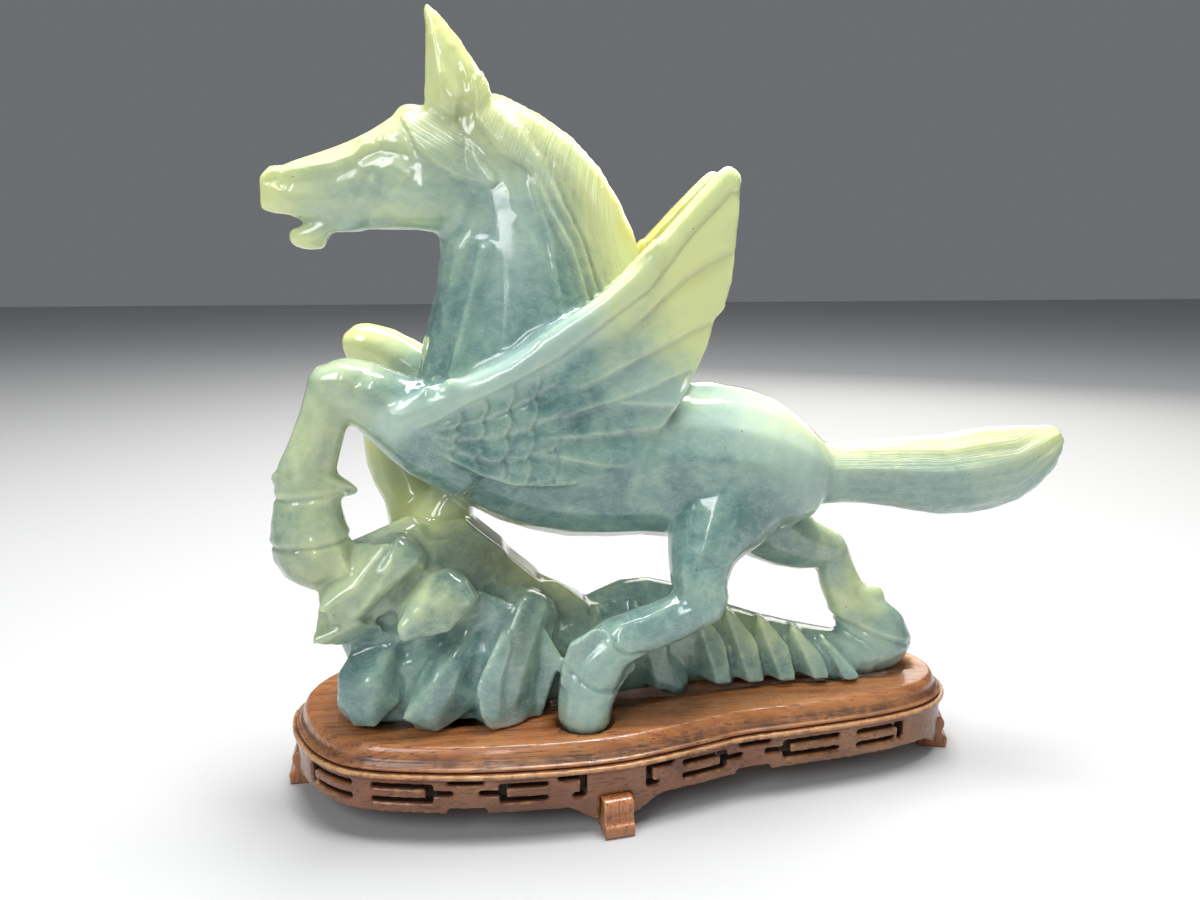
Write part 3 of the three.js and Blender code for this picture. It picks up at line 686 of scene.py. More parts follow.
def blank_material(name: str) -> tuple[bpy.types.Material, Graph, bpy.types.Node]:
    """Starts a material with its surface shader linked to its output.

    Args:
        name: The material's name.

    Returns:
        The material, a graph on its tree, and its surface shader.
    """
    material = bpy.data.materials.new(name)
    material.use_nodes = True
    material.node_tree.nodes.clear()
    graph = Graph(material.node_tree)
    shader = graph.add("ShaderNodeBsdfPrincipled")
    graph.add("ShaderNodeOutputMaterial", {"Surface": shader.outputs[0]})
    return material, graph, shader


@dataclass(frozen=True)
class JadeFinish:
    """Polished bowenite jade: blue-green where it is thick, yellow where light comes through it."""

    deep: Colour = (0.080, 0.178, 0.172)
    middle: Colour = (0.188, 0.345, 0.322)
    milky: Colour = (0.55, 0.71, 0.63)
    celery: Colour = (0.71, 0.76, 0.38)
    yellow: Colour = (0.68, 0.64, 0.14)
    olive: Colour = (0.20, 0.17, 0.05)
    raw: Colour = (0.72, 0.78, 0.80)
    speck: Colour = (0.06, 0.07, 0.05)
    cloud_scale: float = 42.0
    mottle_scale: float = 210.0
    mottle_share: float = 0.17
    vein_stretch: tuple[float, float, float] = (60.0, 60.0, 110.0)
    vein_width: float = 0.03
    vein_share: float = 0.2
    pale_highlight_share: float = 0.75
    warm_clouds: float = 0.17
    warm_mottle: float = 0.08
    olive_share: float = 0.8
    crease_shade_share: float = 0.11
    speck_scale: float = 170.0
    speck_size: float = 0.07
    speck_share: float = 0.55
    hair_scale: float = 1.15
    pit_scale: float = 900.0
    pit_depth: float = 0.035
    relief: float = 0.0006

    def material(self, effects: SharedEffects) -> bpy.types.Material:
        """Builds the material.

        Args:
            effects: The shared effects.

        Returns:
            The material.
        """
        material, graph, shader = blank_material("polished_jade")
        place = graph.place()
        raw, crease = graph.value_of("unpolished"), graph.value_of("crease")
        rub = graph.noise(place, 330.0, 4.0, 0.6)
        rough = graph.math("MULTIPLY_ADD", raw, 0.45, graph.spread(rub, 0.3, 0.75, 0.10, 0.2))
        graph.feed(shader, {
            "Base Color": self.colour(graph, effects, place, raw, crease),
            "Roughness": graph.math("MULTIPLY_ADD", crease, 0.18, rough, clamp=True),
            "Normal": self.normal(graph, place),
            "IOR": 1.56,
            "Subsurface Weight": 0.5,
            "Subsurface Radius": (0.9, 1.0, 0.55),
            "Subsurface Scale": 0.006,
            "Coat Weight": 0.6,
            "Coat Roughness": 0.04,
        })
        return material

    def colour(self, graph: Graph, effects: SharedEffects, place: bpy.types.NodeSocket,
               raw: bpy.types.NodeSocket, crease: bpy.types.NodeSocket) -> bpy.types.NodeSocket:
        """Mixes the stone's colours from the thick body outwards to the warm thin parts.

        Args:
            graph: The material's graph.
            effects: The shared effects.
            place: The place on the piece.
            raw: Where the stone is unpolished.
            crease: Where narrow hollows are; the colour darkens them as painted shade.

        Returns:
            The colour.
        """
        clouds = graph.effect(effects.clouding, {"Vector": place, "Broad Scale": self.cloud_scale,
                                                 "Fine Scale": self.mottle_scale})
        broad, fine = clouds.outputs["Broad"], clouds.outputs["Fine"]
        body = graph.mix(graph.spread(broad, 0.0, 1.0, 0.15, 0.8), opaque(self.deep), opaque(self.middle))
        body = graph.mix(graph.math("MULTIPLY", fine, self.mottle_share), body, opaque(self.milky))
        vein = graph.noise(graph.stretch(place, self.vein_stretch), 1.0, 6.0, 0.7, 1.6)
        off_vein = graph.math("ABSOLUTE", graph.math("SUBTRACT", vein, 0.5))
        streak = graph.math("SUBTRACT", 1.0, graph.spread(off_vein, 0.0, self.vein_width))
        body = graph.mix(graph.math("MULTIPLY", streak, self.vein_share), body, opaque(self.milky))
        # Painted highlights: this mask holds highlights painted on the tops of the rump, tail, mane and wing,
        # besides milky stone.
        pale = graph.math("MULTIPLY", graph.value_of("paleness_and_highlight"), self.pale_highlight_share)
        colour = graph.mix(pale, body, opaque(self.milky))
        warmth = graph.math("MULTIPLY_ADD", broad, self.warm_clouds, graph.value_of("warmth"))
        warmth = graph.math("MULTIPLY_ADD", fine, self.warm_mottle, warmth)
        colour = graph.mix(graph.spread(warmth, 0.06, 0.88), colour, opaque(self.celery))
        colour = graph.mix(graph.spread(warmth, 0.82, 1.40, 0.0, 0.85), colour, opaque(self.yellow))
        brown = graph.math("MULTIPLY", graph.value_of("olive"), self.olive_share)
        colour = graph.mix(brown, colour, opaque(self.olive))
        # Painted shade: narrow hollows are darkened towards the deep colour.
        colour = graph.mix(graph.spread(crease, 0.1, 0.9, 0.0, self.crease_shade_share), colour, opaque(self.deep))
        specks = graph.effect(effects.specks, {"Vector": place, "Scale": self.speck_scale,
                                               "Size": self.speck_size})
        dark = graph.math("MULTIPLY", specks.outputs["Mask"], self.speck_share)
        return graph.mix(raw, graph.mix(dark, colour, opaque(self.speck)), opaque(self.raw))

    def normal(self, graph: Graph, place: bpy.types.NodeSocket) -> bpy.types.NodeSocket:
        """Adds the finest cuts between hairs, and the polish's slight unevenness.

        Args:
            graph: The material's graph.
            place: The place on the piece.

        Returns:
            The bent normal.
        """
        across = graph.math("MULTIPLY", graph.value_of("strand"), self.hair_scale)
        lines = graph.noise(graph.add("ShaderNodeCombineXYZ", {0: across}).outputs[0], 1.0, 3.0, 0.75)
        cut = graph.math("MULTIPLY", graph.spread(lines, 0.36, 0.6), graph.value_of("hair"))
        height = graph.math("MULTIPLY_ADD", graph.noise(place, self.pit_scale, 3.0, 0.6), self.pit_depth, cut)
        bump = graph.add("ShaderNodeBump", {"Strength": 0.5, "Distance": self.relief, "Height": height})
        return bump.outputs[0]


@dataclass(frozen=True)
class WoodFinish:
    """Varnished hardwood with open pores, dark streaks, rubbed edges and painted shade in its hollows."""

    name: str
    light: Colour = (0.56, 0.225, 0.070)
    dark: Colour = (0.235, 0.064, 0.020)
    pore: Colour = (0.035, 0.012, 0.006)
    worn: Colour = (0.56, 0.29, 0.12)
    # near-black colour of the painted shade in hollows and under edges
    painted_shade: Colour = (0.018, 0.008, 0.006)
    gloss: float = 0.19
    band_scale: float = 210.0
    cloud_scale: float = 22.0
    mottle_scale: float = 160.0
    wear: float = 0.6
    fibre_share: float = 0.42
    faded_share: float = 0.3
    pore_share: float = 0.6
    relief: float = 0.0003
    upright: bool = False

    def material(self, effects: SharedEffects) -> bpy.types.Material:
        """Builds the material.

        Args:
            effects: The shared effects.

        Returns:
            The material.
        """
        material, graph, shader = blank_material(self.name)
        place = graph.place()
        if self.upright:
            turn = graph.add("ShaderNodeMapping", {"Vector": place, "Rotation": (0.0, math.pi / 2, 0.0)})
            place = turn.outputs[0]
        timber = graph.effect(effects.timber, {"Vector": place, "Band Scale": self.band_scale})
        wear = graph.effect(effects.wear, {"Vector": place, "Edge": graph.value_of("edge"),
                                           "Amount": self.wear})
        clouds = graph.effect(effects.clouding, {"Vector": place, "Broad Scale": self.cloud_scale,
                                                 "Fine Scale": self.mottle_scale})
        colour = graph.mix(timber.outputs["Band"], opaque(self.light), opaque(self.dark))
        tone = graph.math("MULTIPLY", timber.outputs["Fibre"], self.fibre_share)
        colour = graph.mix(tone, colour, opaque(self.dark))
        faded = graph.math("MULTIPLY", clouds.outputs["Broad"], self.faded_share)
        colour = graph.mix(faded, colour, opaque(self.worn))
        pores = graph.math("MULTIPLY", timber.outputs["Pore"], self.pore_share)
        colour = graph.mix(pores, colour, opaque(self.pore))
        colour = graph.mix(wear.outputs["Mask"], colour, opaque(self.worn))
        # Painted shade: the mesh's mask darkens the cove, the moulding's face, the stone's pocket, the apron's
        # hidden faces and the feet's bottoms, a little patchily.
        shade = graph.value_of("painted_shade")
        patchy = graph.math("MULTIPLY_ADD", clouds.outputs["Fine"], 0.25, shade)
        colour = graph.mix(graph.spread(patchy, 0.2, 0.95), colour, opaque(self.painted_shade))
        rough = graph.spread(clouds.outputs["Fine"], 0.0, 1.0, self.gloss, self.gloss + 0.16)
        rough = graph.math("MULTIPLY_ADD", timber.outputs["Pore"], 0.2, rough)
        rough = graph.math("MULTIPLY_ADD", shade, 0.35, rough, clamp=True)
        sunk = graph.math("MULTIPLY", timber.outputs["Pore"], -1.0)
        height = graph.math("MULTIPLY_ADD", timber.outputs["Fibre"], -0.35, sunk)
        bump = graph.add("ShaderNodeBump", {"Strength": 0.55, "Distance": self.relief, "Height": height})
        graph.feed(shader, {"Base Color": colour, "Roughness": rough, "Normal": bump.outputs[0],
                            "IOR": 1.5, "Coat Weight": 0.5, "Coat Roughness": 0.12})
        return material


# ---------------------------------------------------------------- the stone


@dataclass(frozen=True)
class Lump:
    """A convex, sharp-edged lump that is cut out of the same block as its surroundings."""

    corners: Line
    both_sides: bool = False

    def sides(self) -> list[np.ndarray]:
        """Gives the corners of the lump and of its twin on the horse's other side."""
        corners = np.asarray(self.corners, float)
        return [corners, corners * (1, -1, 1)] if self.both_sides else [corners]


@dataclass(frozen=True)
class Tint:
    """A region of the stone with a colour of its own."""

    centre: tuple[float, float, float]
    radii: tuple[float, float, float]
    strength: float


@dataclass
class Wing:
    """One folded-back wing: a smooth leading band, long feathers and rows of small covert scales."""

    side: Side
    shoulder: tuple[float, float] = (-80.0, 150.0)
    root: float = 27.0
    lean: float = 0.109
    feather_drop: float = 1.1
    feather_fade: float = 8.0
    scale_drop: float = 1.0
    band_drop: float = 1.1
    band_edge: Line = ((-79, 144), (-71, 147), (-62, 152), (-51, 157), (-40, 162), (-29, 168), (-7, 184),
                       (3, 191), (17, 209), (32, 224))
    lower_edge: Line = ((-80, 143), (-76, 141), (-63, 131), (-54, 126), (-45, 123.5), (-36, 122), (-22, 122),
                        (-8, 127), (6, 139))
    outline: Line = ((-86, 150), (-80, 155), (-73, 158), (-60, 161), (-46, 165), (-36, 174), (-21, 182),
                     (-8, 192), (5, 205), (20, 221), (32, 233), (38, 229), (35, 204), (30, 182), (22, 165),
                     (13, 148), (8, 139), (0, 131), (-8, 126), (-26, 120), (-46, 121), (-64, 129), (-78, 139))
    feathers: tuple[Line, ...] = (
        ((34, 204.5), (25, 200), (15, 194), (2, 182), (-8, 175)),
        ((27, 180.5), (16, 175), (0, 167), (-18, 158), (-26, 155)),
        ((21, 163.5), (14, 161), (3, 156), (-9, 152), (-28, 147)),
        ((14, 149.5), (2, 150), (-9, 151), (-29, 146)),
        ((7, 141.5), (-12, 140), (-29, 139), (-39, 139)),
        ((-7, 127.5), (-16, 129), (-29, 132), (-40, 133.5)),
    )
    band: Line = ((-86, 147, 4.6), (-76, 150, 5.4), (-62, 155.5, 5.8), (-47, 161, 5.6), (-32, 169, 5.4),
                  (-16, 180, 5.2), (2, 195, 5.0), (18, 211, 4.4), (31, 226.5, 3.4))
    band_depth: float = 4.7
    band_steps: int = 40
    band_sides: int = 14
    scale_columns: Sequence[float] = (-65.0, -56.5, -47.5, -38.5, -29.5)
    scale_rows: int = 4

    def reach(self, x: float | np.ndarray, z: float | np.ndarray) -> float | np.ndarray:
        """Measures how far out along the wing a place is, from the shoulder."""
        return 0.8 * (x - self.shoulder[0]) + 0.6 * (z - self.shoulder[1])

    def depth_of(self, points: np.ndarray) -> np.ndarray:
        """Measures how far points lie outside the wing's middle plane."""
        out = self.reach(points[:, 0], points[:, 2])
        return self.side.value * points[:, 1] - self.root + self.lean * out

    def band_rings(self) -> list[np.ndarray]:
        """Gives the leading band as rings of points along a smooth curve.

        Returns:
            The rings, from the shoulder to the wing's tip.
        """
        corners = np.asarray(self.band, float)
        knots = np.arange(len(corners))
        place = np.linspace(0, len(corners) - 1, self.band_steps)
        curve = np.stack([np.interp(place, knots, corners[:, k]) for k in range(3)], 1)
        for _ in range(6):
            curve[1:-1] = (curve[:-2] + 2 * curve[1:-1] + curve[2:]) / 4
        along = np.gradient(curve[:, :2], axis=0)
        along /= np.linalg.norm(along, axis=1)[:, None]
        turn = np.linspace(0, 2 * np.pi, self.band_sides, endpoint=False)
        across = np.sign(np.cos(turn)) * np.abs(np.cos(turn)) ** 0.7
        deep = np.sign(np.sin(turn)) * np.abs(np.sin(turn)) ** 0.8
        rings = []
        for (x, z, half), (ax, az) in zip(curve, along):
            middle = self.side.value * (self.root - self.lean * self.reach(x, z))
            thick = self.band_depth * min(1.0, half / 4.6)
            rings.append(np.stack([x - az * half * across, middle + thick * deep, z + ax * half * across], 1))
        return rings

    def ease_band(self, clay: Clay) -> None:
        """Irons the leading band out before it's carved."""
        gap, _ = line_distance(clay.points[:, [0, 2]], [corner[:2] for corner in self.band])
        near = (self.side.value * clay.points[:, 1] > 4.0) & (np.abs(self.depth_of(clay.points)) < 11.0)
        clay.smooth(30, near * smoothstep(gap, 9.5, 6.0), 0.55)

    def face(self, clay: Clay) -> tuple[np.ndarray, np.ndarray]:
        """Finds the wing's two broad faces.

        Args:
            clay: The stone.

        Returns:
            The points on them, and each one's outward way along the wing's depth, 1 or -1.
        """
        flat = clay.points[:, [0, 2]]
        depth = self.depth_of(clay.points)
        facing = clay.normals()[:, 1] * self.side.value
        open_back = clay.points[:, 2] > 150.0
        outer = (depth > -0.5) & (facing > 0.25)
        inner = (depth < 0.5) & (facing < -0.25) & open_back
        picked = np.flatnonzero((np.abs(depth) < 9.0) & (outer | inner) & inside(flat, self.outline))
        return picked, np.sign(facing[picked])

    def carve(self, clay: Clay) -> None:
        """Cuts the band's edge, the feathers and the scales."""
        picked, way = self.face(clay)
        x, z = clay.points[picked, 0], clay.points[picked, 2]
        outer = way > 0
        relief = self.band_relief(x, z) + self.feather_relief(x, z)
        relief += np.where(outer, self.scale_relief(x, z), 0.0)
        rim, _ = line_distance(np.stack([x, z], 1), self.outline, closed=True)
        relief *= smoothstep(rim, 0.0, 3.0) * np.where(outer, 1.0, 0.7)
        clay.points[picked, 1] += relief * way * self.side.value

    def band_relief(self, x: np.ndarray, z: np.ndarray) -> np.ndarray:
        """Sinks the feathers under the band's lower edge, and grooves the edge itself."""
        below = height_at(self.band_edge, x) - z
        fade = smoothstep(x, -82.0, -74.0)
        sunk = -self.band_drop * smoothstep(below, -0.4, 0.9) * np.exp(-np.maximum(below, 0.0) / 7.0)
        return fade * (sunk - 0.2 * np.exp(-((below - 0.6) / 0.8) ** 2))

    def feather_relief(self, x: np.ndarray, z: np.ndarray) -> np.ndarray:
        """Sinks each feather where it slides under the one above, and rounds the upper one's edge."""
        total = np.zeros_like(x)
        for line in self.feathers:
            ends = sorted(corner[0] for corner in line)
            slope = np.gradient(height_at(line, np.array([ends[0], ends[-1]])), 1.0)[0] / (ends[-1] - ends[0])
            below = (height_at(line, x) - z) / math.hypot(1.0, slope)
            fade = smoothstep(x, ends[0], ends[0] + 9.0) * (x < ends[-1] + 1.5)
            drop = smoothstep(below, -0.35, 0.55) * np.exp(-np.maximum(below, 0.0) / self.feather_fade)
            crest = 0.1 * np.exp(-((below + 0.9) / 1.1) ** 2)
            total += fade * (crest - self.feather_drop * drop)
        return total

    def scale_relief(self, x: np.ndarray, z: np.ndarray) -> np.ndarray:
        """Cuts overlapping scales between the band and the lower edge near the shoulder."""
        top, bottom = height_at(self.band_edge, x), height_at(self.lower_edge, x)
        down = np.clip((top - z) / np.maximum(top - bottom, 1.0), 0.0, 1.2)
        row = (down + 0.004 * (x + 45.0)) * self.scale_rows
        within = row - np.floor(row)
        region = smoothstep(x, -76.0, -68.0) * smoothstep(x, -27.0, -32.0) * smoothstep(down, 1.02, 0.93)
        region *= smoothstep(down, 0.0, 0.08)
        relief = -self.scale_drop * 0.8 * np.exp(-within / 0.22)
        for column in self.scale_columns:
            bow = 1.6 * np.sin(np.pi * within) - 5.0 * (down - 0.4)
            beyond = x - column - bow
            relief -= self.scale_drop * smoothstep(beyond, -0.4, 0.4) * np.exp(-np.maximum(beyond, 0.0) / 2.6)
            relief += 0.15 * np.exp(-((beyond + 0.9) / 0.8) ** 2)
        return relief * region


NOSE_BONE = ((-121, 229.5), (-112, 231), (-104, 232.5), (-97, 235))
LASH = ((-90, 238.5), (-88.5, 243))
HEAD_FEATURES: tuple[Swell | Stroke, ...] = (
    Swell("brow", (-87, 11, 241), (12, 9, 6), 0.9),
    Stroke("fold under the brow", ((-94, 234), (-88, 236.5), (-80, 235)), -0.7, 1.6),
    *(Stroke("brow hair", shifted(LASH, x=shift), -0.3, 0.6) for shift in (0.0, 2.2, 4.4)),
    Swell("eyeball", (-85, 12, 228), (6, 6, 4), 0.9),
    Stroke("upper lid", ((-91, 227), (-88, 230.5), (-84, 231.8), (-78.5, 229)), 0.65, 0.9, 1.3),
    Stroke("lower lid", ((-91, 227), (-87, 224.6), (-83, 224.2), (-78.5, 229)), 0.4, 0.9, 1.3),
    Stroke("fold under the eye", ((-89, 222.5), (-85, 220.5), (-80, 221.5)), -0.4, 1.4),
    Stroke("nose bone", (*NOSE_BONE, (-93, 240)), 1.2, 1.4, 1.2),
    Stroke("hollow under the nose bone", shifted(NOSE_BONE, z=-4.4), -0.6, 2.6),
    Stroke("hollow over the nose bone", shifted(NOSE_BONE, z=4.0), -0.5, 1.8),
    Swell("nostril's wing", (-122.5, 8, 225.5), (5.5, 5, 5), 1.1),
    Stroke("nostril", ((-125.5, 226.5), (-123.5, 227.5), (-122, 225.5)), -1.3, 1.1),
    Swell("cheek", (-77, 12, 219), (17, 8, 15), 1.3),
    Stroke("front of the cheek", ((-93, 213), (-92, 221), (-89, 227)), -0.5, 2.4),
    Stroke("behind the jaw", ((-69, 206), (-61, 212), (-57, 222)), -0.9, 2.2),
    Stroke("corner of the mouth", ((-117, 212.2), (-112, 213.2), (-109, 214.5)), -0.5, 0.9, 1.5),
    Stroke("hollow of the jaw", ((-104, 211), (-100, 216), (-100, 221)), -0.35, 2.0),
    Stroke("ear's ridge", ((-69, 274), (-67, 262), (-66.5, 253)), 0.8, 1.4, 1.3),
    Stroke("ear's hollow", ((-62, 268), (-59.5, 258), (-60, 250)), -0.7, 1.8),
    Swell("behind the ear", (-60, 11, 247), (4, 6, 5.5), -0.8),
)
NECK_FEATURES: tuple[Stroke, ...] = (
    Stroke("front cord", ((-62, 204), (-65, 190), (-69, 174), (-75, 160)), 2.1, 3.0),
    Stroke("rear cord", ((-54, 204), (-58, 190), (-62, 176), (-66, 161)), 2.0, 2.8),
    Stroke("between the cords", ((-58, 204), (-61.5, 190), (-65.5, 175), (-70.5, 160.5)), -1.3, 1.9),
    Stroke("edge under the mane", ((-37, 226), (-31, 208), (-29, 188)), 0.9, 1.3, 1.3),
)
LEG_FEATURES: tuple[Swell | Stroke | LegRing, ...] = (
    Swell("near knee", (-103, 29, 163), (10, 7, 8), 1.0),
    Swell("muscle above the knee", (-90, 27, 160), (7, 7, 6), 0.9),
    Stroke("fold of the knee", ((-104, 157), (-98, 160), (-93, 165)), -0.5, 2.2),
    Stroke("cannon bone", ((-111, 152), (-114, 140), (-118, 131)), 0.7, 2.6),
    Stroke("before the tendon", ((-104, 150), (-107, 140), (-110, 131)), -0.8, 2.4),
    LegRing("fetlock", (-129, -104), (6, 40), 121.0, 0.06, 1.0),
    LegRing("hoof's crown", (-129, -100), (6, 40), 104.5, 0.06, 0.9),
    Swell("front of the fetlock", (-128, 22, 127.5), (5, 8, 3.5), 1.5),
    *(Stroke("fetlock hair", ((-113 + 0.5 * k, 128.5 - 1.8 * k), (-100.5, 122.8 - 0.2 * k)), -0.4, 0.7, 1.6)
      for k in range(4)),
    LegRing("far hind pastern", (80, 118), (-26, 10), 50.0, -0.35, 0.9),
    Stroke("near hind hoof's crown", ((-29, 59), (-23, 53), (-16, 49.5), (-9, 47), (-4, 50)), -1.0, 0.9, 1.4),
    Stroke("near hind fetlock", ((-15, 71), (-11, 65), (-5, 61.5), (1, 60.5)), -1.0, 0.9, 1.4),
    Stroke("front of the pastern", ((-13, 66), (-20, 60), (-26, 52)), 0.8, 1.6, 1.5),
    Stroke("hind cannon bone", ((-9, 71.5), (2, 74), (12, 78.5)), 0.9, 1.7, 1.5),
    Swell("near hock", (24, 30, 74), (8, 8, 7), 1.0),
    Swell("under the near hind hoof", (-9, 30, 37), (9, 14, 9), -1.2),
    Stroke("before the hock", ((20, 92), (15, 84), (12, 79)), -0.7, 2.6),
    Stroke("fold of the stifle", ((44, 113), (30, 100), (24, 90)), -0.6, 4.0),
    Swell("far hind fetlock", (98, -10, 64), (7, 8, 4), 0.7),
    Stroke("far hind cannon bone", ((90, 74), (92, 64), (95, 56)), 0.7, 2.0, beyond=-20.0),
)
ROCK_FACING = (-0.3, -1, 0.1)
ROCK_CRESTS: tuple[Line, ...] = (
    ((-86, -26, 104), (-89, -31, 97), (-93, -33, 90), (-100, -33, 82)),
    ((-75, -13, 90), (-78, -30, 84), (-85, -36, 75)),
    ((-75, -14, 89), (-68, -27, 85), (-62, -31, 82)),
    ((-76, -28, 58), (-80, -30, 50), (-84, -29, 42)),
    ((-68, -29, 56), (-72, -32, 48), (-76, -32, 41)),
    ((-90, -20, 66), (-97, -27, 54), (-104, -26, 38)),
    ((-43, -22, 78), (-48, -29, 68), (-53, -32, 54), (-55, -32, 38)),
    ((-108, -6, 76), (-117, -6, 66)),
)
ROCK_CLEFTS: tuple[Line, ...] = (
    ((-80, -20, 74), (-90, -26, 72), (-100, -24, 68)),
    ((-62, -24, 74), (-76, -27, 68), (-86, -24, 62)),
    ((-86, -22, 60), (-91, -25, 50), (-93, -22, 38)),
    ((-58, -24, 66), (-63, -28, 52), (-65, -24, 38)),
    ((-36, -20, 66), (-37, -24, 52), (-38, -22, 38)),
    ((-82, -24, 92), (-92, -29, 84), (-98, -28, 76)),
)


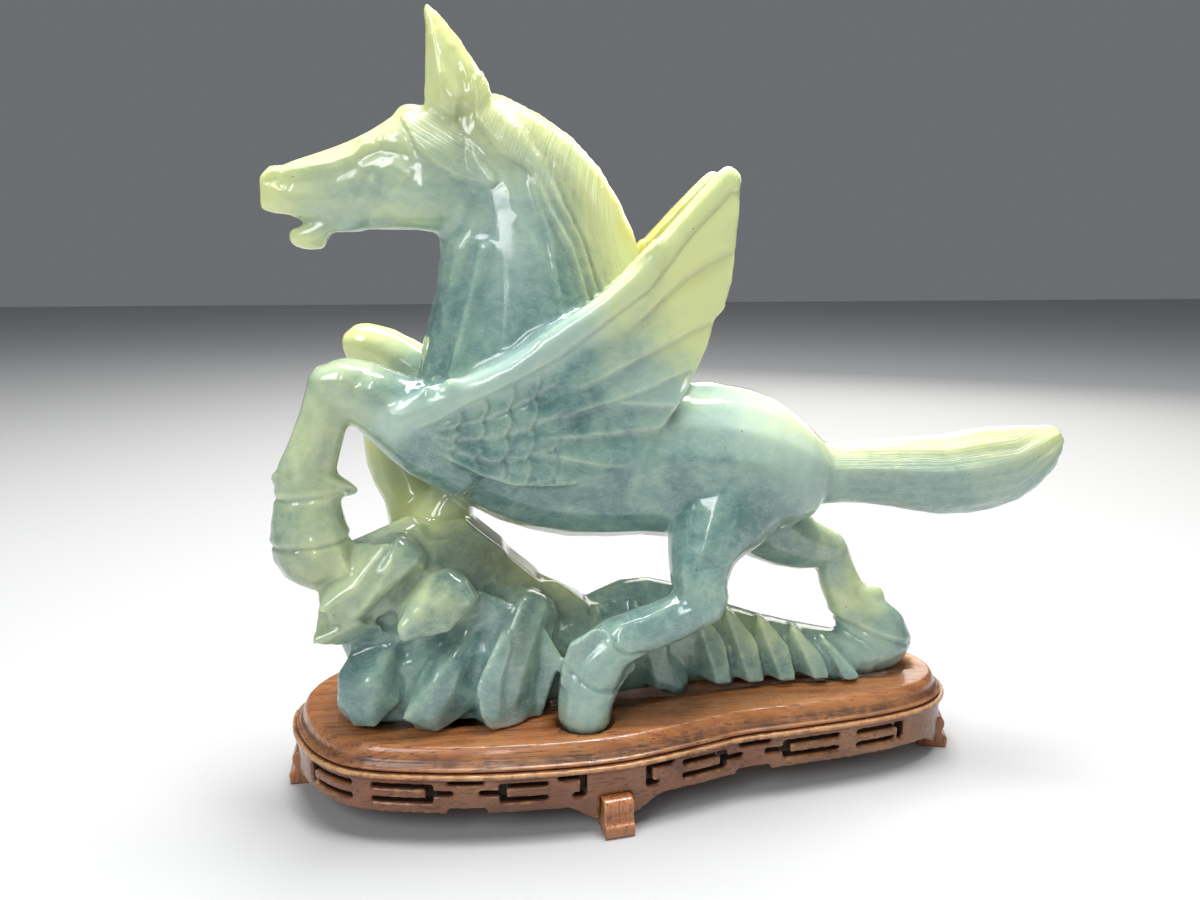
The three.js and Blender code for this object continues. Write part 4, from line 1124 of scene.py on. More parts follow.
@dataclass
class Carving:
    """The stone: horse, wings and rockwork from one block."""

    foremost_x: float = -129.988
    nearest_y: float = -38.706
    rough_grain: float = 1.15
    fine_grain: float = 0.8
    smooth_rounds: int = 46
    triangles: int = 196_000
    ear_softness: float = 0.65
    wing_softness: float = 0.12
    band_softness: float = 0.75
    tail_softness: float = 0.4
    spur_softness: float = 0.3
    rock_softness: float = 0.35
    foot_softness: float = 0.2
    tail_middle: Line = ((66, 118), (92, 118), (123, 117), (151, 121), (172, 132))
    tail_halves: Line = ((66, 13), (92, 12.8), (108, 14.6), (138, 17.4), (162, 12.5), (172, 6))
    wings: tuple[Wing, ...] = (Wing(Side.NEAR), Wing(Side.FAR))
    lumps: tuple[Lump, ...] = (
        # ears and muzzle
        Lump(((-71.5, -4, 282.5), (-72, -6, 268), (-73, -7, 252), (-68, -4, 282.5), (-61.5, -6, 275.5),
              (-57, -7, 268), (-50.5, -7, 258), (-67, -11, 262), (-62, -12, 251), (-72, -1, 250), (-54, -1, 250),
              (-67, -1, 272)), True),
        Lump(((-129.5, -5, 217), (-129, -6, 228), (-125, -6, 232), (-118, -8, 219), (-116, -7, 230),
              (-129.5, 5, 217), (-129, 6, 228), (-125, 6, 232), (-118, 8, 219), (-116, 7, 230))),
        # the spur behind the near fetlock
        Lump(((-98, -24, 122.5), (-110, -29, 129), (-109, -20, 130), (-112, -31, 120), (-110, -18, 119))),
        Lump(((-105, -25, 125), (-113, -29, 139), (-112, -20, 138), (-114, -31, 120), (-110, -18, 119))),
        # rockwork, from the hoof it carries round to the front
        Lump(((-118, -24, 101), (-106, -30, 105), (-118, -27, 88), (-103, -33, 96), (-100, -4, 96),
              (-112, -8, 90))),
        Lump(((-90, -29, 104), (-100, -35, 91), (-113, -37, 83), (-84, -18, 103), (-82, -22, 92), (-98, -28, 75),
              (-86, -24, 79), (-115, -27, 86), (-104, -20, 102), (-84, 0, 100), (-100, 0, 86), (-86, 0, 78))),
        Lump(((-117, -34, 70), (-116, -20, 83), (-105, -27, 66), (-86, -22, 67), (-100, -32, 77), (-90, 0, 72),
              (-104, -4, 82))),
        Lump(((-74, -26, 92), (-86, -36, 71), (-80, -36.5, 82), (-58, -26, 83), (-69, -34.5, 73), (-90, -20, 82),
              (-66, -22, 90), (-75, 0, 92), (-72, -4, 66))),
        Lump(((-103, -18, 65), (-87, -22, 67), (-110, -27, 56), (-110, -29, 46), (-104, -27, 36), (-88, -27, 44),
              (-98, -34, 55), (-97, -31, 36), (-90, 0, 62), (-95, -4, 34))),
        Lump(((-60, -22, 68), (-74, -36, 57), (-87, -35, 41), (-75, -33, 34), (-60, -27, 40), (-71, -18, 67),
              (-84, -36, 45), (-77, -37, 49), (-64, 0, 66), (-72, -4, 34))),
        Lump(((-40, -14, 78), (-53, -32, 66), (-61, -36, 51), (-60, -36, 42), (-56, -33, 34), (-46, -31, 34),
              (-31, -20, 50), (-39, -25, 35), (-42, 0, 78), (-40, 0, 34))),
        Lump(((-106, -23, 62), (-103, -24, 34), (-37, -26, 34), (-29, -25, 57), (-39, -23, 74), (-60, -23, 84),
              (-88, -23, 86), (-105, -21, 76), (-100, 4, 84), (-100, 4, 34), (-38, 4, 34), (-42, 4, 72))),
        Lump(((-88, -20, 100), (-62, -11, 101), (-48, -11, 88), (-58, -19, 82), (-90, -24, 82), (-86, 4, 96),
              (-50, 4, 86))),
        # the comb of ridges along the rock's foot
        *(Lump(((x, -4, top), (x + 3, -5, top - 2), (x + 9, -12, low), (x + 15, -11, low), (x + 12, -8, top - 12),
                (x + 17, 2, low), (x - 2, 4, low), (x + 2, 4, top - 1)))
          for x, top, low in ((0, 70, 35), (24, 66, 36), (37, 65, 36), (50, 62, 36), (64, 57, 36), (77, 51, 35))),
        # the saddle of rock behind them, from the far foreleg to the hind legs
        Lump(((-88, -10, 104), (-64, -6, 106), (-60, -10, 102), (-49, -10, 94), (-88, 14, 100), (-62, 16, 102),
              (-49, 12, 92), (-90, -14, 76), (-50, -18, 72), (-50, 14, 58), (-90, 14, 58))),
        Lump(((-54, -10, 97), (-44, -10, 85), (-35, -9, 80), (-54, 12, 95), (-36, 12, 79), (-54, -18, 66),
              (-34, -16, 60), (-40, 14, 50))),
        Lump(((-40, -9, 81), (-29, -7, 80), (-18, -7, 71), (-40, 10, 80), (-20, 10, 70), (-40, -15, 55),
              (-16, -13, 50), (-16, 12, 50))),
        # pastern and hoof of the near hind leg
        Lump(((-31, -35, 50), (-30, -37, 60), (-27, -36, 68), (-17, -35, 73), (-3, -30, 60), (-1, -26, 52),
              (-9, -30, 45), (-12, -22, 60), (-25, -20, 60), (-28, -22, 52))),
    )
    hollows: tuple[Lump, ...] = (
        # between the lips, and behind the chin
        Lump(((-132, -14, 216), (-132, -14, 209.5), (-122, -14, 210), (-114, -14, 212.6), (-121, -14, 215.8),
              (-132, 14, 216), (-132, 14, 209.5), (-122, 14, 210), (-114, 14, 212.6), (-121, 14, 215.8))),
        Lump(((-107.5, -16, 209.6), (-91, -16, 210), (-86, -16, 196), (-113, -16, 196),
              (-107.5, 16, 209.6), (-91, 16, 210), (-86, 16, 196), (-113, 16, 196))),
    )
    mane_edge: Line = ((-56, 247), (-48, 237), (-38, 231), (-33, 217), (-25, 203), (-19, 184), (-8, 170))
    forelock: Line = ((-81, 248), (-76, 238), (-71, 233), (-63, 228), (-51, 225), (-49, 226.5), (-53, 233),
                      (-57, 239), (-61, 244), (-67, 250))
    warm: tuple[Tint, ...] = (
        Tint((-108, 24, 170), (34, 14, 24), 0.95), Tint((-92, 22, 135), (24, 16, 34), 0.95),
        Tint((-112, -24, 138), (22, 18, 30), 0.42), Tint((-120, -26, 108), (22, 20, 24), 0.2),
        Tint((44, 0, 144), (44, 18, 18), 0.4), Tint((-96, -24, 166), (16, 12, 12), 0.3),
        Tint((-66, 0, 274), (22, 20, 26), 1.0), Tint((-98, 0, 240), (40, 16, 22), 0.7),
        Tint((-128, 0, 222), (14, 16, 18), 0.7), Tint((-116, 0, 205), (14, 14, 8), 0.6),
        Tint((-32, 0, 252), (36, 20, 26), 0.85), Tint((-4, 0, 218), (24, 20, 36), 0.9),
        Tint((-10, -22, 186), (10, 8, 26), 0.3), Tint((-86, -10, 216), (30, 10, 8), 0.2),
        Tint((24, -13, 220), (34, 14, 34), 0.75), Tint((16, -16, 190), (26, 12, 22), 0.62),
        Tint((22, -18, 172), (20, 12, 16), 0.4), Tint((24, 14, 214), (44, 12, 40), 0.8),
        Tint((0, 16, 196), (30, 14, 24), 0.55), Tint((112, 0, 134), (66, 22, 16), 0.7),
        Tint((168, 0, 132), (16, 14, 12), 0.35), Tint((80, 12, 94), (26, 16, 14), 0.35),
        Tint((60, 4, 62), (50, 18, 12), 0.4), Tint((-78, 6, 104), (26, 24, 14), 0.8),
        Tint((-40, 4, 86), (40, 18, 12), 0.75), Tint((96, 8, 72), (16, 16, 20), 0.3),
        Tint((-72, -26, 80), (14, 16, 12), 0.4), Tint((-112, -34, 74), (14, 14, 10), 0.3),
        Tint((-100, -28, 92), (26, 16, 16), 0.3),
        Tint((-30, 6, 78), (30, 18, 12), 0.45), Tint((60, -10, 50), (40, 14, 14), 0.2),
    )
    olive: tuple[Tint, ...] = (
        Tint((-44, -2, 86), (30, 20, 12), 0.6), Tint((-58, -6, 96), (22, 20, 14), 0.55),
        # The olive spot behind the near ear is painted shade in the hollow there; the other olive tints are
        # brownish stone.
        Tint((-59, -11, 246), (8, 8, 8), 0.32), Tint((-22, -12, 70), (16, 14, 14), 0.45),
        Tint((-118, -24, 96), (16, 20, 10), 0.4), Tint((-98, -16, 74), (18, 20, 8), 0.3),
        Tint((-90, 18, 120), (18, 16, 14), 0.3), Tint((-43, -28, 62), (9, 14, 20), 0.35),
    )
    # Pale patches of milky stone; those on the rump, tail, mane and wing are painted highlights where these tops
    # catch the overhead light.
    pale: tuple[Tint, ...] = (
        Tint((46, -8, 144), (40, 28, 20), 1.1), Tint((64, -14, 122), (16, 20, 18), 0.6),
        Tint((-46, -14, 196), (18, 14, 30), 0.3), Tint((8, -18, 160), (24, 12, 18), 0.4),
        Tint((-90, -12, 222), (34, 14, 18), 0.4), Tint((-40, -16, 220), (20, 12, 24), 0.35),
        Tint((130, 0, 118), (56, 18, 14), 0.6),
        Tint((-24, -34, 54), (14, 14, 16), 0.3), Tint((-50, -34, 62), (14, 12, 20), 0.4),
        Tint((98, -6, 50), (18, 16, 16), 0.3),
    )
    raw: tuple[Tint, ...] = (Tint((-51, -31, 33), (7, 5, 4.5), 1.0),)

    def datum(self) -> np.ndarray:
        """Places the figure's frame from the plain solid's corner."""
        low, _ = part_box("winged_horse_carving")
        return np.array([low.x - self.foremost_x * MM, low.y - self.nearest_y * MM, 0.0])

    def build(self) -> bpy.types.Object:
        """Makes the stone's fine mesh.

        Returns:
            The finished piece, without its material.
        """
        piece = copy_solid("winged_horse_carving", "jade_winged_horse")
        self.cut_hollows(piece)
        self.add_lumps(piece)
        remesh(piece, self.rough_grain)
        clay = Clay(piece.data, self.datum())
        clay.smooth(self.smooth_rounds, self.softness(clay.points))
        clay.write()
        remesh(piece, self.fine_grain)
        clay = Clay(piece.data, self.datum())
        clay.smooth(6)
        for wing in self.wings:
            wing.ease_band(clay)
        self.carve_head(clay)
        self.carve_neck(clay)
        self.carve_tail(clay)
        self.carve_legs(clay)
        self.carve_rock(clay)
        for wing in self.wings:
            wing.carve(clay)
        clay.smooth(1, 1.0, 1.0)
        self.rest_on_board(clay)
        clay.write()
        self.store_values(clay)
        thin_out(piece, self.triangles)
        shade_smooth(piece)
        return piece

    def cut_hollows(self, piece: bpy.types.Object) -> None:
        """Cuts the sharp-edged hollows out of the plain solid."""
        datum = self.datum()
        for hollow in self.hollows:
            mesh = bpy.data.meshes.new("hollow")
            built = bmesh.new()
            spots = [built.verts.new(tuple(corner * MM + datum)) for corner in hollow.sides()[0]]
            bmesh.ops.convex_hull(built, input=spots)
            built.to_mesh(mesh)
            built.free()
            cut_away(piece, new_piece("hollow", mesh))

    def add_lumps(self, piece: bpy.types.Object) -> None:
        """Adds the sharp-edged lumps to the plain solid, to be fused with it by the remesh."""
        built = bmesh.new()
        built.from_mesh(piece.data)
        datum = self.datum()
        for lump in self.lumps:
            for corners in lump.sides():
                spots = [built.verts.new(tuple(corner * MM + datum)) for corner in corners]
                bmesh.ops.convex_hull(built, input=spots)
        for wing in self.wings:
            rings = [[built.verts.new(tuple(corner * MM + datum)) for corner in ring]
                     for ring in wing.band_rings()]
            for one, two in zip(rings[:-1], rings[1:]):
                for k in range(len(one)):
                    built.faces.new((one[k - 1], one[k], two[k], two[k - 1]))
            built.faces.new(rings[0])
            built.faces.new(rings[-1])
        bmesh.ops.recalc_face_normals(built, faces=list(built.faces))
        built.to_mesh(piece.data)
        built.free()

    def softness(self, points: np.ndarray) -> np.ndarray:
        """Says how much each part of the stone is softened: thin tips and wings least.

        Args:
            points: Places on the stone.

        Returns:
            A weight from 0 to 1 for each.
        """
        x, y, z = points.T
        weight = np.ones(len(points))
        weight[(z > 250) & (x < -55)] = self.ear_softness
        near = self.wings[0]
        depth = near.depth_of(np.stack([x, near.side.value * np.abs(y), z], 1))
        wing = (np.abs(depth) < 6) & (z > 122) & (x > -84) & (x < 38)
        wing &= inside(points[:, [0, 2]], near.outline)
        weight[wing] = self.wing_softness
        band = wing & (height_at(near.band_edge, x) < z + 1.0)
        weight[band] = self.band_softness
        weight[(np.abs(y) < 12) & (x > 160)] = self.tail_softness
        weight[(x < -95) & (x > -108) & (z > 116) & (z < 130) & (y < -15)] = self.spur_softness
        weight[(z < 106) & (x < 92)] = self.rock_softness
        weight[z < 40] = self.foot_softness
        return weight

    def rest_on_board(self, clay: Clay) -> None:
        """Keeps the stone's underside on its own level."""
        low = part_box("winged_horse_carving")[0].z / MM
        clay.points[:, 2] = np.maximum(clay.points[:, 2], low)

    def carve_head(self, clay: Clay) -> None:
        """Cuts eyes, nostrils, mouth, nose bone, jaw, ears and the forelock."""
        for side in Side:
            for feature in HEAD_FEATURES:
                feature.work(clay, side)
        Swell("tuft on the forehead", (-79, 0, 251), (7, 9, 6), 1.6).work(clay, Side.FAR)
        self.raise_forelock(clay)

    def raise_forelock(self, clay: Clay) -> None:
        """Raises the leaf of hair that is swept back over each cheek."""
        flat = clay.points[:, [0, 2]]
        normals = clay.normals()
        gap, _ = line_distance(flat, self.forelock[:6])
        within = inside(flat, self.forelock)
        rim, _ = line_distance(flat, self.forelock, closed=True)
        lift = 1.15 * np.exp(-gap / 8.0) * smoothstep(np.where(within, rim, -rim), -0.6, 0.8)
        groove = -0.15 * np.exp(-((gap - 0.9) / 0.8) ** 2) * ~within
        sides = smoothstep(np.abs(normals[:, 1]), 0.25, 0.6) * (np.abs(clay.points[:, 1]) < 18)
        clay.push((lift + groove) * sides, normals)

    def mane_share(self, points: np.ndarray) -> tuple[np.ndarray, np.ndarray]:
        """Measures places against the mane.

        Args:
            points: Places on the stone.

        Returns:
            How far each lies inside the mane's lower border, and how far along the border.
        """
        flat = points[:, [0, 2]]
        gap, along = line_distance(flat, self.mane_edge)
        behind = flat[:, 0] > np.interp(flat[:, 1], [c[1] for c in self.mane_edge[::-1]],
                                        [c[0] for c in self.mane_edge[::-1]])
        return np.where(behind, gap, -gap), along

    def carve_neck(self, clay: Clay) -> None:
        """Cuts the mane's border and locks, and the cords of the throat."""
        normals = clay.normals()
        x, y, z = clay.points.T
        signed, along = self.mane_share(clay.points)
        region = (z > 178) & (z < 262) & (x < 6) & (x > -62) & (np.abs(y) < 20)
        region &= signed > -8
        sides = region * smoothstep(np.abs(normals[:, 1]), 0.1, 0.4)
        step = 1.1 * smoothstep(signed, -0.9, 0.7) - 1.1
        step *= np.exp(np.minimum(signed, 0.0) / 5.0)
        lower = smoothstep(along, 20.0, 40.0)
        waves = np.sin(2 * np.pi * signed / 4.2 + 0.5 * np.sin(along / 9.0)) * smoothstep(signed, 13.0, 6.0)
        locks = 0.55 * waves * smoothstep(signed, 0.2, 1.5) * lower
        flow = self.strands(clay.points)
        comb = 0.09 * np.sin(2 * np.pi * flow / 3.1) + 0.07 * np.sin(2 * np.pi * flow / 7.3 + 1.0)
        comb *= smoothstep(signed, 1.5, 6.0)
        clay.push((step + 0.9 * smoothstep(signed, -6, 0) + locks + comb) * sides, normals)
        for side in Side:
            for feature in NECK_FEATURES:
                feature.work(clay, side)

    def strands(self, points: np.ndarray) -> np.ndarray:
        """Gives a coordinate that counts across the hairs of the mane, in millimetres."""
        x, _, z = points.T
        return x - 0.13 * (z - 225.0) - 0.009 * (z - 225.0) ** 2

    def carve_tail(self, clay: Clay) -> None:
        """Combs the tail lengthwise."""
        x, _, z = clay.points.T
        normals = clay.normals()
        share = (z - height_at(self.tail_middle, x)) / height_at(self.tail_halves, x)
        region = smoothstep(x, 74.0, 90.0) * (z > 97.0)
        rolls = np.sin(share * 9.0 + 0.9 * np.sin(x / 17.0)) * 0.2 + np.sin(share * 23.0 + x / 11.0) * 0.09
        clay.push(rolls * region, normals)

    def carve_legs(self, clay: Clay) -> None:
        """Cuts knees, tendons, fetlocks, pastern creases and hooves."""
        for feature in LEG_FEATURES:
            feature.work(clay, Side.NEAR)

    def carve_rock(self, clay: Clay) -> None:
        """Sharpens the rockwork's crests and deepens the clefts between them."""
        for crest in ROCK_CRESTS:
            clay.ridge(crest, 2.2, 3.4, ROCK_FACING, 1.15)
        for cleft in ROCK_CLEFTS:
            clay.ridge(cleft, -2.4, 3.2, ROCK_FACING, 1.6)

    def tinted(self, points: np.ndarray, tints: Iterable[Tint]) -> np.ndarray:
        """Adds up the regions of one colour.

        Args:
            points: Places on the stone.
            tints: The regions.

        Returns:
            How strongly each place is coloured.
        """
        total = np.zeros(len(points))
        for tint in tints:
            gap = np.linalg.norm((points - tint.centre) / np.asarray(tint.radii), axis=1)
            total += tint.strength * np.exp(-1.4 * gap * gap)
        return np.clip(total, 0.0, 1.2)

    def thinness(self, clay: Clay) -> np.ndarray:
        """Measures how thin the stone is behind each place, from 0 in thick stone to 1 in thin stone."""
        normals = clay.normals()
        clay.mesh.calc_loop_triangles()
        corners = np.empty(len(clay.mesh.loop_triangles) * 3, np.int32)
        clay.mesh.loop_triangles.foreach_get("vertices", corners)
        tree = BVHTree.FromPolygons(clay.points.tolist(), corners.reshape(-1, 3).tolist())
        step = 3
        chosen = np.arange(0, len(clay.points), step)
        through = np.full(len(clay.points), np.nan)
        for i in chosen:
            inward = Vector(-normals[i])
            hit = tree.ray_cast(Vector(clay.points[i]) + inward * 0.3, inward, 60.0)
            through[i] = 60.0 if hit[0] is None else hit[3]
        known = np.isfinite(through)
        value = np.where(known, smoothstep(through, 34.0, 7.0), 0.0)
        weight = known.astype(float)
        for _ in range(14):
            value, weight = value + clay.averaged(value), weight + clay.averaged(weight)
            value, weight = value * 0.5, weight * 0.5
        return value / np.maximum(weight, 1e-6)

    def store_values(self, clay: Clay) -> None:
        """Saves what the jade's material reads."""
        points = clay.points
        crest = clay.crests(6.0)
        thin = self.thinness(clay)
        band = np.zeros(len(points))
        for wing in self.wings:
            close = np.abs(wing.depth_of(points)) < 8.0
            gap, _ = line_distance(points[:, [0, 2]], [corner[:2] for corner in wing.band])
            band = np.maximum(band, close * smoothstep(gap, 8.5, 4.0))
        # Paleness: the pale tints, partly painted highlights, the wing's leading band, thin stone and keen
        # crests.
        paleness_and_highlight = self.tinted(points, self.pale) + 0.8 * band + 0.28 * thin + 0.3 * crest
        clay.store("paleness_and_highlight", np.clip(paleness_and_highlight, 0.0, 1.3))
        clay.store("warmth", self.tinted(points, self.warm) + 0.15 * crest)
        clay.store("olive", self.tinted(points, self.olive))
        clay.store("unpolished", self.tinted(points, self.raw))
        # Narrow hollows, which the jade darkens as painted shade and roughens.
        clay.store("crease", clay.creases(9.0))
        self.store_hair(clay)

    def store_hair(self, clay: Clay) -> None:
        """Saves where hairs are and the coordinate that counts across them."""
        points = clay.points
        x, y, z = points.T
        signed, _ = self.mane_share(points)
        mane = smoothstep(signed, -1.0, 2.0) * ((z > 176) & (x < 8) & (x > -62) & (np.abs(y) < 21))
        flat = points[:, [0, 2]]
        leaf = inside(flat, self.forelock) & (np.abs(y) < 18)
        tail = smoothstep(x, 72.0, 84.0) * (z > 97.0)
        across_tail = (z - height_at(self.tail_middle, x)) * 1.1 + y * 0.5 + 40.0
        across_leaf = (x + 66.0) * 0.5 + (z - 238.0) * 0.8 + 90.0
        strand = np.where(tail > 0, across_tail, np.where(leaf, across_leaf, self.strands(points)))
        clay.store("strand", strand)
        clay.store("hair", np.maximum.reduce([mane * 0.9, leaf * 0.35, tail * 0.7]))


# ---------------------------------------------------------------- the stand


@dataclass
class Outline:
    """The stand's plan: a smooth closed curve through the plain board's lower edge."""

    steps: int = 420
    points: np.ndarray = field(init=False)
    outward: np.ndarray = field(init=False)

    def __post_init__(self) -> None:
        """Reads the board's lower edge and draws a smooth curve through it."""
        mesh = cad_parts["top_board"].data
        flat = np.array([v.co for v in mesh.vertices], float) / MM
        low = flat[flat[:, 2] < flat[:, 2].min() + 0.05][:, :2]
        low = np.unique(np.round(low, 3), axis=0)
        centre = low.mean(0)
        low = low[np.argsort(np.arctan2(low[:, 1] - centre[1], low[:, 0] - centre[0]))]
        self.polygon = low
        self.points = self.curve(low)
        ahead, back = np.roll(self.points, -1, 0), np.roll(self.points, 1, 0)
        along = (ahead - back) / np.linalg.norm(ahead - back, axis=1)[:, None]
        self.outward = np.stack([along[:, 1], -along[:, 0]], 1)

    def curve(self, corners: np.ndarray) -> np.ndarray:
        """Draws an evenly stepped smooth curve through a closed polygon's corners.

        Args:
            corners: The polygon.

        Returns:
            The curve's points.
        """
        count = len(corners)
        place = np.arange(self.steps) * count / self.steps
        base = np.floor(place).astype(int)
        t = (place - base)[:, None]
        p0, p1, p2, p3 = (corners[(base + k) % count] for k in (-1, 0, 1, 2))
        return 0.5 * (2 * p1 + (p2 - p0) * t + (2 * p0 - 5 * p1 + 4 * p2 - p3) * t ** 2
                      + (3 * p1 - p0 - 3 * p2 + p3) * t ** 3)

    def reach_of(self, flat: np.ndarray, ring: np.ndarray) -> np.ndarray:
        """Measures how far places lie outside a ring, negative inside.

        Args:
            flat: Places seen from above.
            ring: The ring's points.

        Returns:
            A signed distance for each place.
        """
        gap, _ = line_distance(flat, ring, closed=True)
        return np.where(inside(flat, ring), -gap, gap)

    def unfacet(self, clay: Clay) -> np.ndarray:
        """Moves a wall made of straight steps onto the smooth curve.

        Args:
            clay: The wall.

        Returns:
            How far each of its points lies outside the curve.
        """
        flat = clay.points[:, :2]
        straight = self.reach_of(flat, self.polygon)
        curved = self.reach_of(flat, self.points)
        gap = np.full(len(flat), np.inf)
        nearest = np.zeros(len(flat), int)
        for k, spot in enumerate(self.points):
            here = np.hypot(*(flat - spot).T)
            closer = here < gap
            gap[closer] = here[closer]
            nearest[closer] = k
        clay.points[:, :2] += (straight - curved)[:, None] * self.outward[nearest]
        return straight


@dataclass
class TopBoard:
    """The stand's moulded board with the stone's shallow pocket in it."""

    outline: Outline
    moulding: Line = (
        (4.0, 0.0), (4.7, 0.12), (5.0, 0.5), (5.0, 0.95), (4.8, 1.25), (4.35, 1.42), (4.05, 1.55), (3.85, 1.9),
        (3.6, 2.35), (3.2, 2.75), (2.75, 3.1), (2.45, 3.5), (2.3, 4.1), (2.15, 4.8), (1.85, 5.6), (1.4, 6.4),
        (0.85, 7.05), (0.35, 7.42), (-0.1, 7.6), (-0.6, 7.68), (-1.3, 7.7),
    )
    inner_shares: tuple[float, ...] = (0.93, 0.8, 0.6, 0.35, 0.12)
    pocket_lift: float = 3.0

    def build(self) -> bpy.types.Object:
        """Makes the board.

        Returns:
            The finished piece, without its material.
        """
        low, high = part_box("top_board")
        height = (high.z - low.z) / MM
        scale = height / self.moulding[-1][1]
        reach = self.moulding[2][0]
        rings = []
        for out, rise in self.moulding:
            flat = self.outline.points + (out - reach) * self.outline.outward
            rings.append(np.column_stack([flat, np.full(len(flat), low.z / MM + rise * scale)]))
        rim = rings[-1]
        middle = rim[:, :2].mean(0)
        for share in self.inner_shares:
            ring = rim.copy()
            ring[:, :2] = middle + share * (ring[:, :2] - middle)
            rings.append(ring)
        piece = self.loft("stand_top_board", rings)
        self.cut_pocket(piece, high.z)
        self.store_values(piece, low.z / MM, height)
        shade_smooth(piece)
        return piece

    def loft(self, name: str, rings: list[np.ndarray]) -> bpy.types.Object:
        """Joins rings of points into a closed skin."""
        count = len(rings[0])
        points = np.vstack(rings) * MM
        faces = []
        for r in range(len(rings) - 1):
            for i in range(count):
                j = (i + 1) % count
                faces.append((r * count + i, r * count + j, (r + 1) * count + j, (r + 1) * count + i))
        faces.append(tuple(reversed(range(count))))
        top = (len(rings) - 1) * count
        faces.append(tuple(range(top, top + count)))
        mesh = bpy.data.meshes.new(name)
        mesh.from_pydata(points.tolist(), [], faces)
        return new_piece(name, mesh)

    def cut_pocket(self, piece: bpy.types.Object, top: float) -> None:
        """Cuts the pocket that the plain board has, from its own floor upwards.

        Args:
            piece: The board.
            top: The board's upper level, in metres.
        """
        cutter = copy_solid("top_board", "pocket_cutter")
        built = bmesh.new()
        built.from_mesh(cutter.data)
        shallow, deep = top - 1.0 * MM, top - 2.5 * MM
        others = [f for f in built.faces
                  if f.normal.z <= 0.99 or not all(deep < v.co.z < shallow for v in f.verts)]
        bmesh.ops.delete(built, geom=others, context="FACES")
        made = bmesh.ops.extrude_face_region(built, geom=list(built.faces))
        raised = [v for v in made["geom"] if isinstance(v, bmesh.types.BMVert)]
        bmesh.ops.translate(built, verts=raised, vec=(0, 0, self.pocket_lift * MM))
        bmesh.ops.recalc_face_normals(built, faces=list(built.faces))
        built.to_mesh(cutter.data)
        built.free()
        cut_away(piece, cutter)

    def store_values(self, piece: bpy.types.Object, low: float, height: float) -> None:
        """Saves where the varnish is rubbed off, and the painted shade in the cove, down the moulding's face and
        in the stone's pocket.
        """
        clay = Clay(piece.data, np.zeros(3))
        reach = self.outline.reach_of(clay.points[:, :2], self.outline.points) + self.moulding[2][0]
        rise = (clay.points[:, 2] - low) / height
        lip = np.exp(-((rise - 0.1) / 0.07) ** 2) * (reach > 3.5)
        rim = np.exp(-((reach - 0.3) / 0.9) ** 2) * (rise > 0.8)
        cove = np.exp(-((rise - 0.34) / 0.22) ** 2) * (reach > 1)
        sunk = (rise > 0.3) * (rise < 0.97) * (reach < -3)
        clay.store("edge", np.clip(0.5 * lip + 0.3 * rim, 0, 1))
        # Painted shade: the cove, the moulding's face below the top and the pocket under the stone are darkened.
        clay.store("painted_shade", np.clip(0.42 * cove + 0.1 * (rise < 0.9) * (reach > 0) + 0.25 * sunk, 0, 1))


@dataclass
class ApronRing:
    """The fret-sawn apron under the board, with its bracketed lower edge."""

    outline: Outline
    grain: float = 0.75
    face_reach: float = 5.2
    board_reach: float = 5.0

    def build(self) -> bpy.types.Object:
        """Makes the apron.

        Returns:
            The finished piece, without its material.
        """
        piece = copy_solid("apron_ring", "stand_apron_ring")
        remesh(piece, self.grain)
        clay = Clay(piece.data, np.zeros(3))
        reach = self.outline.unfacet(clay) + self.board_reach
        clay.smooth(3)
        low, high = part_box("apron_ring")
        clay.points[:, 2] = np.clip(clay.points[:, 2], low.z / MM, high.z / MM)
        crest = clay.crests(7.0)
        behind = smoothstep(reach, self.face_reach - 0.4, self.face_reach - 2.2)
        under_lip = smoothstep(clay.points[:, 2], high.z / MM - 3.8, high.z / MM - 2.6)
        under_lip *= reach < self.face_reach + 0.6
        top_lip = smoothstep(clay.points[:, 2], high.z / MM - 1.6, high.z / MM - 0.2) * (reach > self.face_reach)
        clay.store("edge", np.clip(crest * (1 - behind) + 0.55 * top_lip, 0, 1))
        # Painted shade: the faces behind the apron's front, inside its openings, and the band under the board's
        # lip are darkened.
        clay.store("painted_shade", np.clip(behind + 0.35 * under_lip, 0, 1))
        shade_smooth(piece)
        return piece


@dataclass
class Foot:
    """One carved foot: a squared toe, a hollow ankle and a rounded knee."""

    name: str
    grain: float = 0.5

    @property
    def node(self) -> str:
        """The plain solid this foot stands for."""
        return f"foot_{self.name}"

    def build(self) -> bpy.types.Object:
        """Makes the foot.

        Returns:
            The finished piece, without its material.
        """
        piece = copy_solid(self.node, f"stand_{self.node}")
        remesh(piece, self.grain)
        clay = Clay(piece.data, np.zeros(3))
        low = clay.points[:, 2].min()
        clay.smooth(9)
        clay.points[:, 2] = np.maximum(clay.points[:, 2], low)
        clay.store("edge", 0.8 * clay.crests(12.0))
        # Painted shade: darker at the very bottom, where the foot meets the floor.
        clay.store("painted_shade", 0.7 * smoothstep(clay.points[:, 2], low + 0.8, low))
        shade_smooth(piece)
        return piece


# ---------------------------------------------------------------- studio


@dataclass(frozen=True)
class SoftLight:
    """A rectangular studio light that looks at the figure."""

    name: str
    spot: tuple[float, float, float]
    size: tuple[float, float]
    power: float
    tint: Colour = (1.0, 1.0, 1.0)

    def place(self, target: Vector) -> None:
        """Hangs the light and turns it to the figure."""
        lamp = bpy.data.lights.new(self.name, "AREA")
        lamp.shape = "RECTANGLE"
        lamp.size, lamp.size_y = self.size
        lamp.energy = self.power
        lamp.color = self.tint
        holder = bpy.data.objects.new(self.name, lamp)
        holder.location = self.spot
        holder.rotation_euler = (target - Vector(self.spot)).to_track_quat("-Z", "Y").to_euler()
        bpy.context.scene.collection.objects.link(holder)


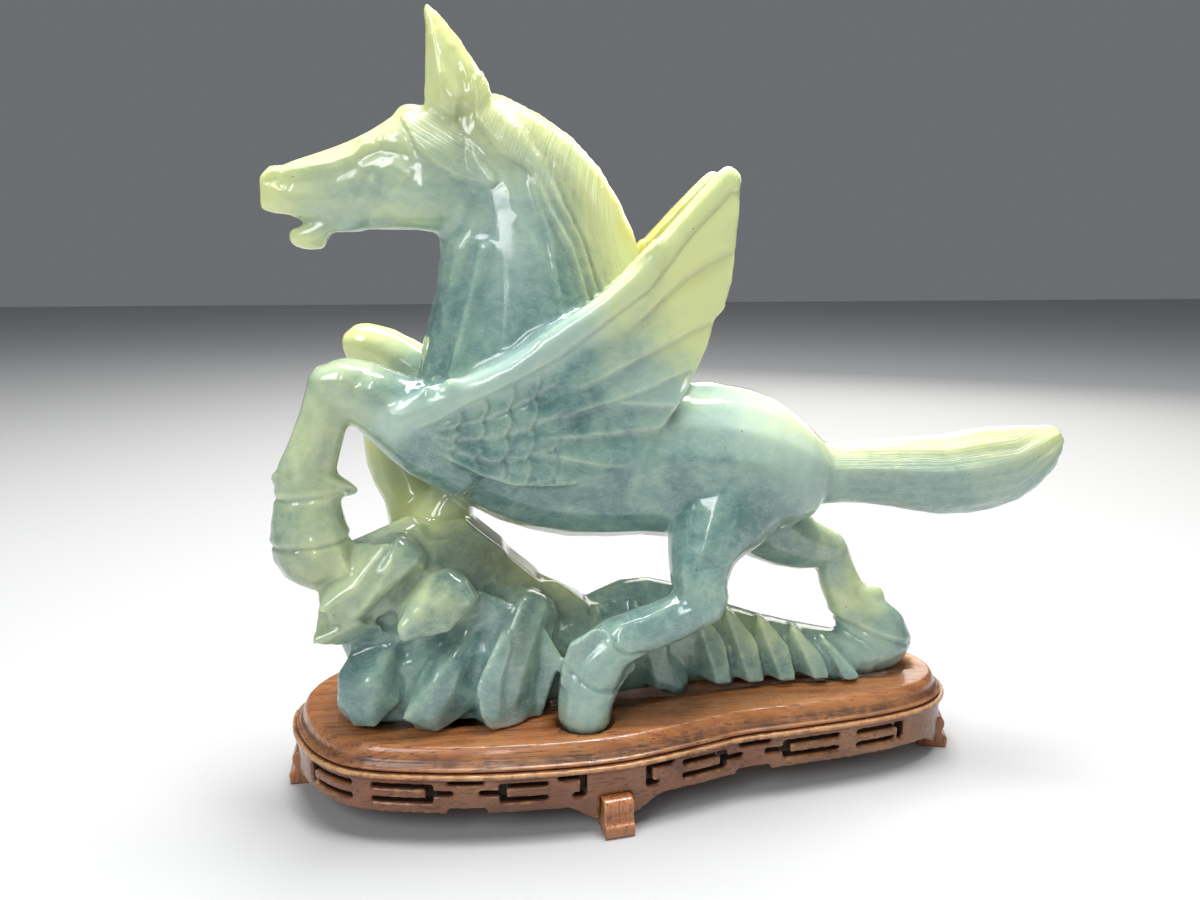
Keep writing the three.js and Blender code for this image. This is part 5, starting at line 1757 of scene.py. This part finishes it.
@dataclass
class Studio:
    """Pale floor, soft lights and the camera."""

    camera_spot: tuple[float, float, float] = (-0.0700, -0.3490, 0.2060)
    camera_pitch: float = 77.7
    camera_turn: float = -6.25
    lens: float = 28.5
    floor_size: float = 6.0
    floor_colour: Colour = (0.46, 0.46, 0.46)
    sky_colour: Colour = (0.82, 0.86, 0.92)
    sky_strength: float = 0.18
    lights: tuple[SoftLight, ...] = (
        SoftLight("window_left", (-0.75, -0.85, 0.95), (0.5, 0.7), 7.5, (0.95, 0.98, 1.0)),
        SoftLight("ceiling", (0.05, 0.1, 1.25), (0.8, 0.5), 31.0),
        SoftLight("front_strip", (-0.15, -1.15, 0.75), (0.14, 0.6), 2.2),
        SoftLight("back_glow", (0.45, 0.9, 0.55), (0.8, 0.6), 4.5, (1.0, 0.97, 0.9)),
    )

    def build(self) -> None:
        """Sets the scene up around the figure."""
        low, high = (Vector(corner) for corner in cad_bounds)
        target = (low + high) / 2
        for light in self.lights:
            light.place(target)
        self.lay_floor()
        self.set_world()
        self.set_camera()

    def lay_floor(self) -> None:
        """Lays a plain pale floor."""
        built = bmesh.new()
        bmesh.ops.create_grid(built, x_segments=2, y_segments=2, size=self.floor_size / 2)
        mesh = bpy.data.meshes.new("floor")
        built.to_mesh(mesh)
        built.free()
        material, graph, shader = blank_material("floor_paper")
        tone = graph.noise(graph.place(), 3.0, 2.0, 0.5)
        shade = graph.spread(tone, 0.3, 0.7, 0.97, 1.0)
        darker = opaque(tuple(0.9 * c for c in self.floor_colour))
        paper = graph.mix(shade, darker, opaque(self.floor_colour))
        graph.feed(shader, {"Base Color": paper, "Roughness": 0.85})
        mesh.materials.append(material)
        new_piece("floor", mesh)

    def set_world(self) -> None:
        """Fills the room with pale light."""
        world = bpy.data.worlds.new("studio")
        world.use_nodes = True
        background = world.node_tree.nodes["Background"]
        background.inputs["Color"].default_value = opaque(self.sky_colour)
        background.inputs["Strength"].default_value = self.sky_strength
        bpy.context.scene.world = world

    def set_camera(self) -> None:
        """Places the camera."""
        lens = bpy.data.cameras.new("camera")
        lens.lens = self.lens
        lens.sensor_width = 36.0
        lens.clip_start = 0.01
        camera = bpy.data.objects.new("camera", lens)
        camera.location = self.camera_spot
        camera.rotation_euler = (math.radians(self.camera_pitch), 0.0, math.radians(self.camera_turn))
        bpy.context.scene.collection.objects.link(camera)
        bpy.context.scene.camera = camera


# ---------------------------------------------------------------- assembly

FOOT_NAMES = ("right", "back", "left", "front")
BOARD_WOOD = WoodFinish("board_hardwood")
# The apron's wood is darker than the board's, partly as painted shade on the upright apron.
APRON_WOOD = WoodFinish("apron_hardwood", light=(0.23, 0.054, 0.014), dark=(0.085, 0.019, 0.006), gloss=0.24)
FOOT_WOOD = WoodFinish("foot_hardwood", light=(0.50, 0.17, 0.06), dark=(0.25, 0.07, 0.025), gloss=0.22,
                       upright=True)
PIN_WOOD = WoodFinish("pin_wood", light=(0.58, 0.42, 0.24), dark=(0.40, 0.26, 0.13), gloss=0.55, upright=True)


def main() -> None:
    """Builds the scene in order and reports each piece."""
    logging.basicConfig(level=logging.INFO, format="%(message)s")
    bpy.context.scene.view_settings.view_transform = "Standard"
    Studio().build()
    effects = SharedEffects()
    carving = Carving().build()
    settle(carving, JadeFinish().material(effects), Body.CARVING, ["winged_horse_carving"])
    outline = Outline()
    board = TopBoard(outline).build()
    settle(board, BOARD_WOOD.material(effects), Body.STAND, ["top_board"])
    apron = ApronRing(outline).build()
    settle(apron, APRON_WOOD.material(effects), Body.STAND, ["apron_ring"])
    foot_wood = FOOT_WOOD.material(effects)
    pin_wood = PIN_WOOD.material(effects)
    for name in FOOT_NAMES:
        foot = Foot(name)
        settle(foot.build(), foot_wood, Body.STAND, [foot.node])
        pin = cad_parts[f"foot_pin_{name}"]
        pin.data.materials.clear()
        pin.data.materials.append(pin_wood)
        LOG.info("%s keeps its plain solid", pin.name)


if __name__ == "__main__":
    main()
